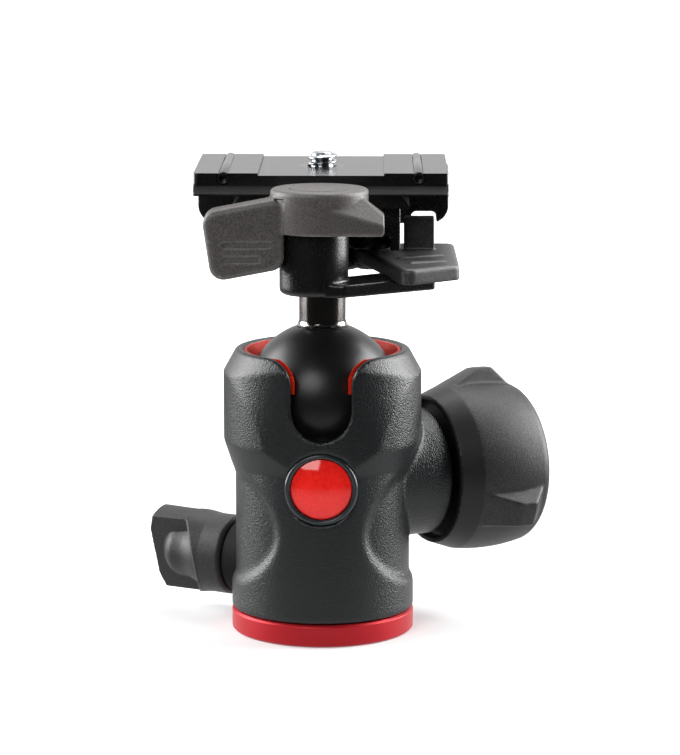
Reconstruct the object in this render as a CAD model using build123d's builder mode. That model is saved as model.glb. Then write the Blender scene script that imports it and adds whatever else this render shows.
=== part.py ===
"""Tripod ball head with a lever quick-release clamp and a dovetail camera plate.

Millimetres, +Z up. The origin is the centre of the base's mounting face. -Y is the front, where the notch
in the rim, the badge and the clamp's lever are. The ball-lock knob points to the right and back, the pan-lock
knob to the left and back.
"""

from build123d import *
from math import asin, atan2, cos, degrees, radians, sin, sqrt, tan
import os

os.makedirs("parts", exist_ok=True)

# ---- clearances ----
fit_gap = 0.05  # running fits and seats that slide
pan_gap = 0.1  # between the base and the turning housing
free_gap = 0.3  # between curved faces that pass each other
chamber_gap = 0.4  # round the ball in its chamber
travel_gap = 1.3  # room for the wedge's inward travel

# ---- base and panorama spindle ----
ball_radius = 16.75
chamber_radius = ball_radius + chamber_gap
foot_wall = 2.85
base_radius = chamber_radius + foot_wall
base_height = 4.9
base_edge = 0.5
flange_radius = 12.0
flange_height = 2.6
spigot_radius = 6.5
post_radius = 8.0
housing_bottom = base_height + pan_gap
bush_top = housing_bottom + 14.0
post_top = bush_top + 3.0
stud_hole_radius = 3.97  # tap size of a 3/8"-16 thread
stud_hole_depth = 9.5
groove_depth = 0.6
groove_half_height = 3.9
base_screw_place = 9.2
base_screw_radius = 1.2
base_screw_head = 2.3
base_screw_count = 3
base_screw_bite = 2.0  # thread length in the flange

# ---- heights of the ball's seat and its lock, counted up from the spindle ----
chamber_floor = post_top + 3.0
floor_plate_top = chamber_floor + 3.8
wedge_bar_top = floor_plate_top + 2.4
lock_height = wedge_bar_top + 1.8
cup_bottom = wedge_bar_top + 3.4
wedge_block_top = cup_bottom + 1.6
ball_height = cup_bottom + ball_radius + 0.15
cup_top = ball_height - 7.5

# ---- housing ----
waist_radius = base_radius - 0.9
head_radius = chamber_radius + 4.5
rim_radius = chamber_radius + 1.75
rim_height = ball_height + 11.0
shoulder_height = rim_height - 5.0
head_start = ball_height - 9.0  # the flare ends here and the upper barrel begins
waist_end = head_start - 7.5
panel_end = head_start - 5.1  # where the flare leaves the foot's radius
# height and half length of the ellipse that flattens the front and back
cheek_sections = (
    (base_height - 0.9, base_radius * 1.5),
    (waist_end + 1.0, base_radius * 1.5),
    (head_start + 5.5, head_radius + 2.95),
    (rim_height + 0.5, rim_radius + 2.7),
)
scoop_reach = head_radius + 1.35
scoop_bottom = housing_bottom + 6.2
scoop_low_width = base_radius - 6.0
scoop_low_height = scoop_bottom + 4.2
scoop_inner = base_radius - 10.4
scoop_inner_height = scoop_bottom + 11.8
scoop_top = head_start - 2.0
scoop_high_width = base_radius - 6.6
scoop_high_height = scoop_top - 7.5
notch_depth = 12.0
boss_round = 1.0

# ---- neck and the collar that holds the ball ----
neck_radius = 5.1
neck_foot_radius = neck_radius + 0.5
neck_foot_height = 1.3
neck_length = 36.5  # from the ball's centre to the neck's end in the clamp
neck_top = ball_height + neck_length
notch_half_width = neck_radius + 1.35
notch_flare = 5.5
collar_groove_radius = chamber_radius + 0.95
collar_bottom = ball_height + 3.5
collar_step = collar_bottom + 3.8
collar_lip = collar_bottom + 2.6
collar_top = rim_height - 0.4
collar_mouth = chamber_radius - 0.65
collar_edge = 0.7  # how far the collar shows inside the notch

# ---- panorama bearing in the housing ----
bush_wall = 2.0
bush_flange_radius = 14.0
bush_flange_height = 1.0
pan_chamber_radius = 12.0
washer_height = 0.8
ring_height = 1.0
ring_radius = 9.8
ring_mouth_angle = 40.0

# ---- ball lock ----
lock_angle = 27.0  # swept back from +X
boss_radius = 14.2
boss_end = base_radius + 5.5
wedge_half_width = 4.5
wedge_inner_end = 2.55 - chamber_radius
wedge_outer_end = chamber_radius - 0.25
wedge_block_start = wedge_outer_end - 3.5
ramp_length = 3.6
ramp_rise = 1.35
ramp_starts = (wedge_inner_end + 0.8, wedge_block_start - travel_gap - ramp_length)
lift_gap = 0.35
cup_bore = chamber_radius - 6.15
foot_gap = 0.4
spring_radius = 3.0
spring_waves = 4
spring_waist = 2.2
spring_bore = 1.5
spring_place = chamber_radius - 4.25
lock_bush_radius = 8.0
lock_bush_start = chamber_radius + 0.75
lock_screw_radius = 4.0
knob_start = boss_end + free_gap
knob_grip_radius = 18.3
knob_cone_radius = knob_grip_radius - 1.9
knob_grip_start = knob_start + 5.2
knob_end = knob_grip_start + 17.6
knob_recess_radius = knob_cone_radius - 1.0
knob_recess_depth = 2.6
knob_core_radius = 7.0
knob_core_end = knob_grip_start + 10.0
lock_screw_end = knob_core_end + 1.0
knob_cap_radius = knob_grip_radius - 7.3
knob_cap_height = 1.2
lobe_radius = knob_grip_radius + 3.5
lobe_full = knob_grip_start + 8.0
lobe_top_end = lobe_full + 3.5
lobe_end = lobe_top_end + 3.5
lobe_count = 3
lobe_half_base = 4.8
lobe_half_top = 2.9
lobe_round = 0.5
lobe_first = 82.0
knob_belly = 0.5
knob_round = 3.2
knob_taper = 1.0
washer_radius = 6.6

# ---- pan lock ----
pan_height = housing_bottom + 8.4
pan_angle = 150.0  # swept back from -X by 30 degrees
pad_radius = 3.3
pad_tip = post_radius - fit_gap
pad_end = pad_tip + 3.95
pan_insert_radius = 4.5
pan_insert_start = pad_end + 0.2
pan_screw_radius = 3.0
pan_collar_radius = 8.2
pan_collar_start = base_radius - 2.8
pan_collar_end = pan_collar_start + 4.2
pan_knob_start = pan_collar_end + 0.4
pan_screw_end = pan_knob_start + 12.2
pan_knob_radius = 8.9
pan_wing_radius = 9.6
pan_wing_half = 2.7
pan_wing_flare = 0.4
pan_wing_roll = 18.0  # the wing's upper edge leans to the front
pan_scallop_start = pan_knob_start + 5.7
pan_scallop_end = pan_knob_start + 10.7
pan_knob_end = pan_knob_start + 20.9
pan_end_drop = 3.2
pan_end_reach = 1.2
pan_core_radius = 6.2
pan_core_end = pan_knob_start + 16.2
pan_knob_round = 0.7

# ---- badge ----
badge_height = lock_height + 1.7
bezel_radius = 7.9
bezel_bore = 6.65
badge_floor = base_radius - 1.5
bezel_front = base_radius - 0.3
badge_radius = 6.5
badge_edge = badge_floor + 0.5
badge_dome = 1.4
bezel_chamfer = 0.4

# ---- camera plate ----
plate_bottom = neck_top + 7.3
plate_top = plate_bottom + 7.5
plate_length = 53.8
plate_half = plate_length / 2
plate_top_width = 39.0
plate_width = plate_top_width + 3.5  # over the tapered edges
half_width = plate_width / 2
half_top = plate_top_width / 2
flange_bottom = plate_bottom + 2.85
taper_land = 0.4
taper_top = plate_bottom + 4.8
dovetail_half = plate_half - 8.2
dovetail_waist = dovetail_half - 1.5
dovetail_depth = plate_top_width
dovetail_waist_height = plate_bottom + 2.4
dovetail_edge_height = plate_bottom + 0.6
centre_recess = 0.5
centre_recess_half = 13.3
strip_radius = 1.4
strip_place = plate_half - 6.3
strip_height = plate_top - 1.05
strip_mouth = 2.0
camera_screw_radius = 3.175
camera_screw_top = plate_top + 2.6
camera_shank_radius = 2.6  # relief under the thread that keeps the screw captive
camera_head_radius = 7.5
camera_head_height = 1.6
camera_head_gap = 0.25
camera_slot_width = 1.6
camera_slot_depth = 0.8
camera_ring_radius = 4.9
camera_ring_height = 0.7
camera_pocket_top = plate_bottom + 2.1
plate_corner = 0.8

# ---- clamp ----
deck_half = dovetail_half - 1.9
deck_top = plate_bottom - fit_gap
deck_bottom = plate_bottom - 6.3
deck_front = 4.25 - half_width
jaw_front = half_width - 7.75
jaw_back = half_width + 2.15
jaw_bottom = plate_bottom - 7.3
jaw_top = plate_bottom + 5.1
jaw_half = plate_half + 0.8
jaw_round = 4.0
arch_left = jaw_half - 8.3
arch_right = jaw_half - 2.7
arch_height = 2.7
arch_round = 1.2
column_radius = 8.8
column_bottom = plate_bottom - 15.0
lever_axis = (-1.3, -half_width - 9.75)
front_boss_radius = 7.2
front_boss_bottom = plate_bottom - 16.3
front_boss_top = plate_bottom - 3.3
front_boss_round = 1.2
bridge_half = 6.0
arm_top = front_boss_bottom + 2.7
web_right = deck_half
web_left = web_right - 2.2
web_back = 2.0
web_bottom = deck_bottom - 3.0
column_round = 0.8
pocket_radius = 5.2
bolt_radius = 2.5
bolt_head_radius = 4.3
bolt_head_height = 3.0
bolt_washer_height = 0.8
bolt_reach = 9.0
bolt_web = 2.4
bolt_key_radius = 2.3
bolt_key_depth = 1.8
arm_front = lever_axis[1] - 7.0
arm_outline = (
    (1.0, arm_front + 0.4),
    (5.2, arm_front),
    (24.0, arm_front + 12.0),
    (24.0, arm_front + 20.0),
    (14.0, arm_front + 20.0),
    (3.6, arm_front + 12.0),
)
trigger_place = (-9.5, -10.5)
trigger_radius = 2.2
trigger_top = plate_bottom - 0.1
trigger_length = 7.5
trigger_chamfer = 0.4
trigger_bore_depth = 4.5
trigger_boss_radius = 3.8
trigger_boss_bottom = deck_bottom - 4.5
trigger_spring_bottom = trigger_boss_bottom + 0.9
trigger_spring_radius = 1.4
trigger_spring_bore = 0.9
trigger_spring_height = 6.0
trigger_spring_turns = 6

# ---- lever ----
lever_bottom = plate_bottom - 3.15
lever_top = plate_bottom + 5.75
hub_radius = 10.25
hub_offset = 1.2  # the hub's rim stands to the right of the pivot
hub_back_radius = 9.35
hub_back_starts = (-1.0, 5.5)  # where the room at the back begins, right and left of the pivot
hub_back_bottom = flange_bottom - 0.25
hub_lip_bottom = taper_top + 0.1
hub_round = 0.9
pivot_radius = 3.0
pivot_head_radius = 5.2
pivot_head_height = 1.6
pivot_head_bottom = plate_bottom + 3.7
lever_pivot_bottom = plate_bottom - 11.3
cam_bottom = plate_bottom + 3.25
cam_top = cam_bottom + 1.05
cam_bore = 6.5
cam_eccentricity = 1.04
cam_angle = 120.0
cam_gap = 0.08
cam_left = lever_axis[0] - 8.0  # the cam ring is cut off here, inside the hub
blade_left = lever_axis[0] - 23.2
blade_low_left = blade_left + 2.1
blade_right = lever_axis[0] - 6.0
blade_front = lever_axis[1] - 6.4
blade_back = lever_axis[1] + 0.4
blade_low = plate_bottom - 13.3
blade_inner_low = blade_low + 2.9
blade_high = plate_bottom + 1.2
blade_inner_high = blade_high + 3.3
blade_corner = 3.0
blade_round = 1.2
rib_heights = (plate_bottom - 5.4, plate_bottom - 8.4)
rib_left = lever_axis[0] - 18.9
rib_rights = (lever_axis[0] - 8.7, lever_axis[0] - 10.9)
rib_width = 1.1
rib_depth = 0.5
tail_front = lever_axis[1] - 10.1
tail_back = lever_axis[1] - 3.5
tail_right = lever_axis[0] + 14.6
tail_tip_top = lever_bottom + 4.1
tail_rim_right = lever_axis[0] + 10.6
tail_rim_top = lever_bottom + 7.2
# three corners of the facet that slopes down to the tail's front
tail_facet = (
    (lever_axis[0] + 4.8, tail_front, lever_bottom + 5.1),
    (lever_axis[0] + 13.8, tail_front, lever_bottom + 2.5),
    (lever_axis[0] + 10.3, tail_front + 4.5, tail_rim_top + 0.1),
)
tail_round = 0.8
disc_radius = 6.2
disc_height = 0.4

# ---- safety catch ----
catch_pivot = (10.6, -6.6)
catch_pivot_radius = 2.0
catch_pivot_top = plate_bottom - 2.3
catch_boss_radius = 4.2
catch_lug_radius = 3.3
catch_head_radius = 3.2
catch_head_height = 0.9
catch_spring_radius = 3.0
catch_spring_height = 2.4
catch_spring_turns = 3
catch_front = lever_axis[1] - 9.8
catch_web_gap = 0.8
block_left = web_right + catch_web_gap
block_right = block_left + 6.5
catch_outline = (
    (8.4, -7.0),
    (block_left - 0.2, catch_front),
    (block_right + 4.9, catch_front + 9.2),
    (block_right + 4.6, 2.6),
    (block_left - 0.6, 2.6),
)
catch_corner = 2.0
catch_bottom = arm_top + 0.2
catch_top = catch_bottom + 3.3
catch_round = 0.9
block_front = -9.6
block_back = -6.4
block_top = plate_bottom - 3.0
catch_rib_height = 0.45
catch_rib_width = 1.0
# both ends of each raised rib
catch_ribs = (
    ((block_left - 1.4, -23.1), (block_right + 1.6, -18.2)),
    ((block_left + 1.0, -30.3), (block_right + 1.9, -27.6)),
)


def turned_plane(angle, height):
    """Plane through the Z axis whose x runs out along a level axis and whose y points up."""
    return Plane(
        origin=(0, 0, height),
        x_dir=(cos(radians(angle)), sin(radians(angle)), 0),
        z_dir=(sin(radians(angle)), -cos(radians(angle)), 0),
    )


def across_plane(angle, height, distance):
    """Plane square to a level axis, at a distance from the Z axis, with y pointing up."""
    outward = Vector(cos(radians(angle)), sin(radians(angle)), 0)
    side = Vector(-sin(radians(angle)), cos(radians(angle)), 0)
    return Plane(origin=Vector(0, 0, height) + outward * distance, x_dir=side, z_dir=outward)


lock_side = turned_plane(lock_angle, lock_height)
lock_axis = Axis(lock_side.origin, lock_side.x_dir)
pan_side = turned_plane(pan_angle, pan_height)
pan_axis = Axis(pan_side.origin, pan_side.x_dir)
front = Plane.XZ
upright = (Align.CENTER, Align.CENTER, Align.MIN)
lock_tip = lock_side.origin + lock_side.x_dir * boss_end
underside = Plane.XY.rotated((180, 0, 0))


def save(piece, label):
    """Label a finished piece and write it as its own file."""
    piece.part.label = label
    export_step(piece.part, f"parts/{label}.step")


# ================= base =================
with BuildPart() as base_disc:
    with BuildSketch():
        Circle(base_radius)
    extrude(amount=base_height)
    chamfer(base_disc.edges().filter_by(GeomType.CIRCLE), base_edge)
    with BuildSketch(Plane.XY.offset(base_height - flange_height)):
        Circle(flange_radius + fit_gap)
    extrude(amount=flange_height, mode=Mode.SUBTRACT)
    with BuildSketch():
        Circle(spigot_radius + fit_gap)
    extrude(amount=base_height, mode=Mode.SUBTRACT)
    with Locations(underside):
        with PolarLocations(base_screw_place, base_screw_count):
            CounterSinkHole(base_screw_radius + fit_gap, base_screw_head + fit_gap, depth=base_height)
save(base_disc, "base_disc")

groove_radius = post_radius - groove_depth
ring_bottom = bush_top + washer_height + fit_gap
ring_top = ring_bottom + ring_height
ring_seat = post_radius - groove_depth - fit_gap
flange_bottom_face = base_height - flange_height
with BuildPart() as pan_spindle:
    with BuildSketch(front):
        with BuildLine():
            Polyline(
                (0, 0),
                (spigot_radius, 0),
                (spigot_radius, flange_bottom_face),
                (flange_radius, flange_bottom_face),
                (flange_radius, base_height),
                (post_radius, base_height),
                (post_radius, pan_height - groove_half_height),
                (groove_radius, pan_height - groove_half_height + groove_depth),
                (groove_radius, pan_height + groove_half_height - groove_depth),
                (post_radius, pan_height + groove_half_height),
                (post_radius, ring_bottom - fit_gap),
                (ring_seat, ring_bottom - fit_gap),
                (ring_seat, ring_top + fit_gap),
                (post_radius, ring_top + fit_gap),
                (post_radius, post_top - base_edge),
                (post_radius - base_edge, post_top),
                (0, post_top),
                close=True,
            )
        make_face()
    revolve(axis=Axis.Z)
    with BuildSketch():
        Circle(stud_hole_radius)
    extrude(amount=stud_hole_depth, mode=Mode.SUBTRACT)
    with BuildSketch(Plane.XY.offset(flange_bottom_face)):
        with PolarLocations(base_screw_place, base_screw_count):
            Circle(base_screw_radius + fit_gap)
    extrude(amount=base_screw_bite + fit_gap, mode=Mode.SUBTRACT)
save(pan_spindle, "pan_spindle")

screw_head_height = (base_screw_head - base_screw_radius) / tan(radians(41))
with BuildPart() as base_screws:
    with Locations(underside):
        with PolarLocations(base_screw_place, base_screw_count):
            Cone(
                base_screw_radius,
                base_screw_head,
                screw_head_height,
                align=(Align.CENTER, Align.CENTER, Align.MAX),
            )
            Cylinder(
                base_screw_radius,
                flange_bottom_face + base_screw_bite,
                align=(Align.CENTER, Align.CENTER, Align.MAX),
            )
save(base_screws, "base_screws")

mouth_half = ring_radius * tan(radians(ring_mouth_angle / 2))
with BuildPart() as retaining_ring:
    with BuildSketch(Plane.XY.offset(ring_bottom)):
        Circle(ring_radius)
        Circle(ring_seat + fit_gap, mode=Mode.SUBTRACT)
        Polygon((0, 0), (ring_radius, -mouth_half), (ring_radius, mouth_half), align=None, mode=Mode.SUBTRACT)
    extrude(amount=ring_height)
save(retaining_ring, "retaining_ring")

# ================= housing =================
# What is left behind the two side scoops: the waist and the flare that carries the upper barrel.
with BuildPart() as waist_core:
    with BuildSketch(front):
        with BuildLine():
            Polyline(
                (0, 0),
                (waist_radius, 0),
                (waist_radius, waist_end),
                (head_radius + free_gap, head_start + free_gap),
                (head_radius + free_gap, rim_height),
                (0, rim_height),
                close=True,
            )
        make_face()
    revolve(axis=Axis.Z)

# A scoop seen from the front is a leaf whose inner edge curves in towards the badge.
with BuildPart() as scoops:
    with BuildSketch(front):
        with BuildLine():
            lip = Spline(
                (-scoop_reach, scoop_bottom),
                (-scoop_low_width, scoop_low_height),
                (-scoop_inner, scoop_inner_height),
                (-scoop_high_width, scoop_high_height),
                (-scoop_reach, scoop_top),
            )
            Line(lip @ 1, lip @ 0)
        make_face()
        mirror(about=Plane.YZ)
    extrude(amount=scoop_reach, both=True)
    add(waist_core.part, mode=Mode.SUBTRACT)


def notch_sketch(half_width, flare):
    """U-shaped drop notch, rounded below at the ball's centre and flared out at the rim."""
    flare_start = rim_height - flare
    with BuildSketch(front.offset(notch_depth)) as outline:
        with BuildLine():
            CenterArc((0, ball_height), half_width, 180, 180)
            Line((half_width, ball_height), (half_width, flare_start))
            CenterArc((half_width + flare, flare_start), flare, 180, -90)
            Polyline(
                (half_width + flare, rim_height),
                (half_width + flare, rim_height + flare),
                (-half_width - flare, rim_height + flare),
                (-half_width - flare, rim_height),
            )
            CenterArc((-half_width - flare, flare_start), flare, 90, -90)
            Line((-half_width, flare_start), (-half_width, ball_height))
        make_face()
    return outline.sketch


bush_radius = post_radius + fit_gap + bush_wall
with BuildPart() as housing:
    with BuildSketch(front):
        with BuildLine():
            Polyline(
                (0, housing_bottom),
                (base_radius - base_edge, housing_bottom),
                (base_radius, housing_bottom + base_edge),
                (base_radius, panel_end),
                (head_radius, head_start),
                (head_radius, shoulder_height),
                (rim_radius, rim_height),
                (0, rim_height),
                close=True,
            )
        make_face()
    revolve(axis=Axis.Z)
    # flatter front and back, which leave a crease along each cheek of the upper barrel
    for height, half_length in cheek_sections:
        with BuildSketch(Plane.XY.offset(height)):
            Ellipse(half_length, base_radius + fit_gap)
    loft(mode=Mode.INTERSECT)
    add(scoops.part, mode=Mode.SUBTRACT)
    with BuildSketch(across_plane(lock_angle, lock_height, 0)):
        Circle(boss_radius)
    extrude(amount=boss_end)
    fillet(housing.faces().sort_by_distance(lock_tip)[0].edges(), boss_round)
    # ball chamber, collar groove, panorama chamber and bush bore
    with BuildSketch(Plane.XY.offset(chamber_floor)):
        Circle(chamber_radius)
    extrude(amount=rim_height, mode=Mode.SUBTRACT)
    with BuildSketch(Plane.XY.offset(collar_bottom)):
        Circle(collar_groove_radius)
    extrude(amount=collar_step - collar_bottom, mode=Mode.SUBTRACT)
    with BuildSketch(Plane.XY.offset(bush_top)):
        Circle(pan_chamber_radius)
    extrude(amount=chamber_floor - bush_top, mode=Mode.SUBTRACT)
    with BuildSketch(Plane.XY.offset(housing_bottom)):
        Circle(bush_radius)
    extrude(amount=bush_top - housing_bottom, mode=Mode.SUBTRACT)
    with BuildSketch(Plane.XY.offset(housing_bottom)):
        Circle(bush_flange_radius)
    extrude(amount=bush_flange_height, mode=Mode.SUBTRACT)
    # side bores for the two locks
    with BuildSketch(across_plane(lock_angle, lock_height, bush_radius)):
        Circle(lock_bush_radius)
    extrude(amount=boss_end, mode=Mode.SUBTRACT)
    with BuildSketch(across_plane(pan_angle, pan_height, post_radius)):
        Circle(pan_insert_radius)
    extrude(amount=pan_collar_start, mode=Mode.SUBTRACT)
    with BuildSketch(across_plane(pan_angle, pan_height, pan_collar_start)):
        Circle(pan_collar_radius + fit_gap)
    extrude(amount=pan_collar_start, mode=Mode.SUBTRACT)
    # badge seat and drop notch
    with BuildSketch(across_plane(-90, badge_height, badge_floor)):
        Circle(bezel_radius)
    extrude(amount=badge_floor, mode=Mode.SUBTRACT)
    extrude(notch_sketch(notch_half_width, notch_flare), amount=notch_depth, mode=Mode.SUBTRACT)
save(housing, "housing")

with BuildPart() as pan_bush:
    with BuildSketch(Plane.XY.offset(base_height + fit_gap)):
        Circle(bush_flange_radius)
    extrude(amount=pan_gap - fit_gap + bush_flange_height)
    with BuildSketch(Plane.XY.offset(housing_bottom)):
        Circle(bush_radius)
    extrude(amount=bush_top - housing_bottom)
    with BuildSketch():
        Circle(post_radius + fit_gap)
    extrude(amount=post_top, mode=Mode.SUBTRACT)
    with BuildSketch(across_plane(pan_angle, pan_height, 0)):
        Circle(pad_radius + fit_gap)
    extrude(amount=bush_flange_radius, mode=Mode.SUBTRACT)
save(pan_bush, "pan_bush")

with BuildPart() as thrust_washer:
    with BuildSketch(Plane.XY.offset(bush_top)):
        Circle(pan_chamber_radius - free_gap)
        Circle(post_radius + fit_gap, mode=Mode.SUBTRACT)
    extrude(amount=washer_height)
save(thrust_washer, "thrust_washer")

with BuildPart() as floor_plate:
    with BuildSketch(Plane.XY.offset(chamber_floor)):
        Circle(chamber_radius - fit_gap)
    extrude(amount=floor_plate_top - chamber_floor)
    chamfer(floor_plate.edges().group_by(Axis.Z)[-1], fit_gap * 4)
save(floor_plate, "floor_plate")

# Red collar in the rim: a split plastic ring with a ball seat below and a cone above it.
seat_radius = ball_radius + fit_gap
with BuildPart() as ball_collar:
    collar_low = collar_bottom + fit_gap
    lip_point = (sqrt(seat_radius**2 - (collar_lip - ball_height) ** 2), collar_lip)
    low_point = (sqrt(seat_radius**2 - (collar_low - ball_height) ** 2), collar_low)
    with BuildSketch(front):
        with BuildLine():
            Polyline(
                low_point,
                (collar_groove_radius - fit_gap, collar_low),
                (collar_groove_radius - fit_gap, collar_step - fit_gap),
                (chamber_radius - fit_gap, collar_step - fit_gap),
                (chamber_radius - fit_gap, collar_top),
                (collar_mouth, collar_top),
                lip_point,
            )
            Line(lip_point, low_point)
        make_face()
    revolve(axis=Axis.Z)
    with Locations((0, 0, ball_height)):
        Sphere(seat_radius, mode=Mode.SUBTRACT)
    collar_notch = notch_sketch(notch_half_width - collar_edge, notch_flare)
    extrude(collar_notch, amount=notch_depth, mode=Mode.SUBTRACT)
save(ball_collar, "ball_collar")

# ---- ball lock inside the housing ----
seat_low_radius = sqrt(seat_radius**2 - (ball_height - cup_top) ** 2)
cup_lip_height = ball_height - sqrt(seat_radius**2 - cup_bore**2)
with BuildPart() as pressure_cup:
    with BuildSketch(front):
        with BuildLine():
            Polyline(
                (seat_low_radius, cup_top),
                (chamber_radius - fit_gap * 2, cup_top),
                (chamber_radius - fit_gap * 2, cup_bottom),
                (cup_bore, cup_bottom),
                (cup_bore, cup_lip_height),
            )
            Line((cup_bore, cup_lip_height), (seat_low_radius, cup_top))
        make_face()
    revolve(axis=Axis.Z)
    # feet that stand over the wedge's ramps, and the slot that its outer block passes
    for start in ramp_starts:
        with BuildSketch(lock_side):
            with BuildLine():
                Polyline(
                    (start, wedge_bar_top - lock_height + lift_gap),
                    (start + ramp_length, wedge_bar_top - lock_height + ramp_rise + lift_gap),
                    (start + ramp_length, cup_bottom - lock_height + foot_gap),
                    (start, cup_bottom - lock_height + foot_gap),
                    close=True,
                )
            make_face()
        extrude(amount=wedge_half_width - free_gap, both=True)
    with BuildSketch(lock_side):
        with Locations((wedge_block_start - travel_gap, cup_bottom - lock_height)):
            Rectangle(
                chamber_radius,
                wedge_block_top - cup_bottom + free_gap,
                align=(Align.MIN, Align.MIN),
            )
    extrude(amount=wedge_half_width + free_gap, both=True, mode=Mode.SUBTRACT)
    with Locations((0, 0, ball_height)):
        Sphere(seat_radius, mode=Mode.SUBTRACT)
save(pressure_cup, "pressure_cup")

with BuildPart() as lock_wedge:
    with BuildSketch(lock_side):
        with Locations((wedge_inner_end, floor_plate_top + fit_gap - lock_height)):
            Rectangle(
                wedge_outer_end - wedge_inner_end,
                wedge_bar_top - floor_plate_top - fit_gap,
                align=(Align.MIN, Align.MIN),
            )
        with Locations((wedge_block_start, floor_plate_top + fit_gap - lock_height)):
            Rectangle(
                wedge_outer_end - wedge_block_start,
                wedge_block_top - floor_plate_top - fit_gap,
                align=(Align.MIN, Align.MIN),
            )
        for start in ramp_starts:
            with BuildLine():
                Polyline(
                    (start, wedge_bar_top - lock_height),
                    (start + ramp_length, wedge_bar_top - lock_height + ramp_rise),
                    (start + ramp_length, wedge_bar_top - lock_height),
                    close=True,
                )
            make_face()
    extrude(amount=wedge_half_width, both=True)
    with BuildSketch():
        Circle(chamber_radius - free_gap)
    extrude(amount=rim_height, mode=Mode.INTERSECT)
save(lock_wedge, "lock_wedge")

# Two stacks of disc springs lift the cup lightly, one each side of the wedge.
wave = (cup_bottom - floor_plate_top) / spring_waves
spring_places = [
    across_plane(lock_angle + turn, floor_plate_top, spring_place).origin for turn in (90, -90)
]
with BuildPart() as cup_springs:
    for step in range(spring_waves):
        with Locations(*[place + (0, 0, step * wave) for place in spring_places]):
            Cone(spring_waist, spring_radius, wave / 2, align=upright)
        with Locations(*[place + (0, 0, (step + 0.5) * wave) for place in spring_places]):
            Cone(spring_radius, spring_waist, wave / 2, align=upright)
    with Locations(*spring_places):
        Cylinder(spring_bore, cup_bottom - floor_plate_top, align=upright, mode=Mode.SUBTRACT)
save(cup_springs, "cup_springs")

with BuildPart() as lock_bush:
    with BuildSketch(across_plane(lock_angle, lock_height, lock_bush_start)):
        Circle(lock_bush_radius)
        Circle(lock_screw_radius + fit_gap, mode=Mode.SUBTRACT)
    extrude(amount=boss_end - lock_bush_start)
save(lock_bush, "lock_bush")

with BuildPart() as lock_washer:
    with BuildSketch(across_plane(lock_angle, lock_height, boss_end)):
        Circle(washer_radius)
        Circle(lock_screw_radius + fit_gap, mode=Mode.SUBTRACT)
    extrude(amount=washer_height)
save(lock_washer, "lock_washer")

# ================= ball-lock knob =================
core_start = boss_end + washer_height + fit_gap * 2
with BuildPart() as lock_screw:
    with BuildSketch(across_plane(lock_angle, lock_height, wedge_outer_end + fit_gap * 2)):
        Circle(lock_screw_radius)
    extrude(amount=lock_screw_end - wedge_outer_end - fit_gap * 2)
    chamfer(lock_screw.edges().filter_by(GeomType.CIRCLE), base_edge)
save(lock_screw, "lock_screw")

with BuildPart() as lock_knob_core:
    with BuildSketch(across_plane(lock_angle, lock_height, core_start)):
        Circle(knob_core_radius)
        Circle(lock_screw_radius, mode=Mode.SUBTRACT)
    extrude(amount=knob_core_end - core_start)
save(lock_knob_core, "lock_knob_core")

with BuildPart() as lobes:
    with BuildSketch(lock_side):
        with BuildLine():
            Polyline(
                (knob_grip_start, 0),
                (knob_grip_start, knob_grip_radius),
                (lobe_full, lobe_radius),
                (lobe_top_end, lobe_radius),
                (lobe_end, knob_grip_radius - lobe_round),
                (lobe_end, 0),
                close=True,
            )
        make_face()
    revolve(axis=lock_axis)
    with BuildSketch(across_plane(lock_angle, lock_height, knob_start)):
        with PolarLocations(0, lobe_count, start_angle=lobe_first):
            Polygon(
                (0, -lobe_half_base),
                (knob_cone_radius, -lobe_half_base),
                (lobe_radius, -lobe_half_top),
                (lobe_radius, lobe_half_top),
                (knob_cone_radius, lobe_half_base),
                (0, lobe_half_base),
                align=None,
            )
    extrude(amount=knob_end, mode=Mode.INTERSECT)

with BuildPart() as lock_knob_grip:
    with BuildSketch(lock_side):
        with BuildLine():
            Polyline(
                (knob_grip_start, knob_grip_radius),
                (knob_start, knob_cone_radius),
                (knob_start, knob_recess_radius),
                (knob_start + knob_recess_depth, knob_recess_radius),
                (knob_start + knob_recess_depth, 0),
                (knob_end, 0),
                (knob_end, knob_grip_radius - knob_taper),
            )
            ThreePointArc(
                (knob_end, knob_grip_radius - knob_taper),
                (lobe_full, knob_grip_radius + knob_belly),
                (knob_grip_start, knob_grip_radius),
            )
        make_face()
    revolve(axis=lock_axis)
    fillet(lock_knob_grip.faces().sort_by(lock_axis)[-1].edges(), knob_round)
    add(lobes.part)
    with BuildSketch(across_plane(lock_angle, lock_height, knob_start)):
        Circle(knob_core_radius)
    extrude(amount=knob_core_end - knob_start, mode=Mode.SUBTRACT)
    with BuildSketch(across_plane(lock_angle, lock_height, lock_screw_end - fit_gap * 40)):
        Circle(lock_screw_radius)
    extrude(amount=fit_gap * 42, mode=Mode.SUBTRACT)
    with BuildSketch(across_plane(lock_angle, lock_height, knob_end - knob_cap_height)):
        Circle(knob_cap_radius + fit_gap)
    extrude(amount=knob_cap_height, mode=Mode.SUBTRACT)
save(lock_knob_grip, "lock_knob_grip")

with BuildPart() as lock_knob_cap:
    with BuildSketch(across_plane(lock_angle, lock_height, knob_end - knob_cap_height)):
        Circle(knob_cap_radius)
    extrude(amount=knob_cap_height)
save(lock_knob_cap, "lock_knob_cap")

# ================= pan lock =================
with BuildPart() as pan_brake_pad:
    with BuildSketch(across_plane(pan_angle, pan_height, pad_tip)):
        Circle(pad_radius)
    extrude(amount=pad_end - pad_tip)
save(pan_brake_pad, "pan_brake_pad")

with BuildPart() as pan_insert:
    with BuildSketch(across_plane(pan_angle, pan_height, pan_insert_start)):
        Circle(pan_insert_radius)
        Circle(pan_screw_radius + fit_gap, mode=Mode.SUBTRACT)
    extrude(amount=pan_collar_start - pan_insert_start)
save(pan_insert, "pan_insert")

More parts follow.
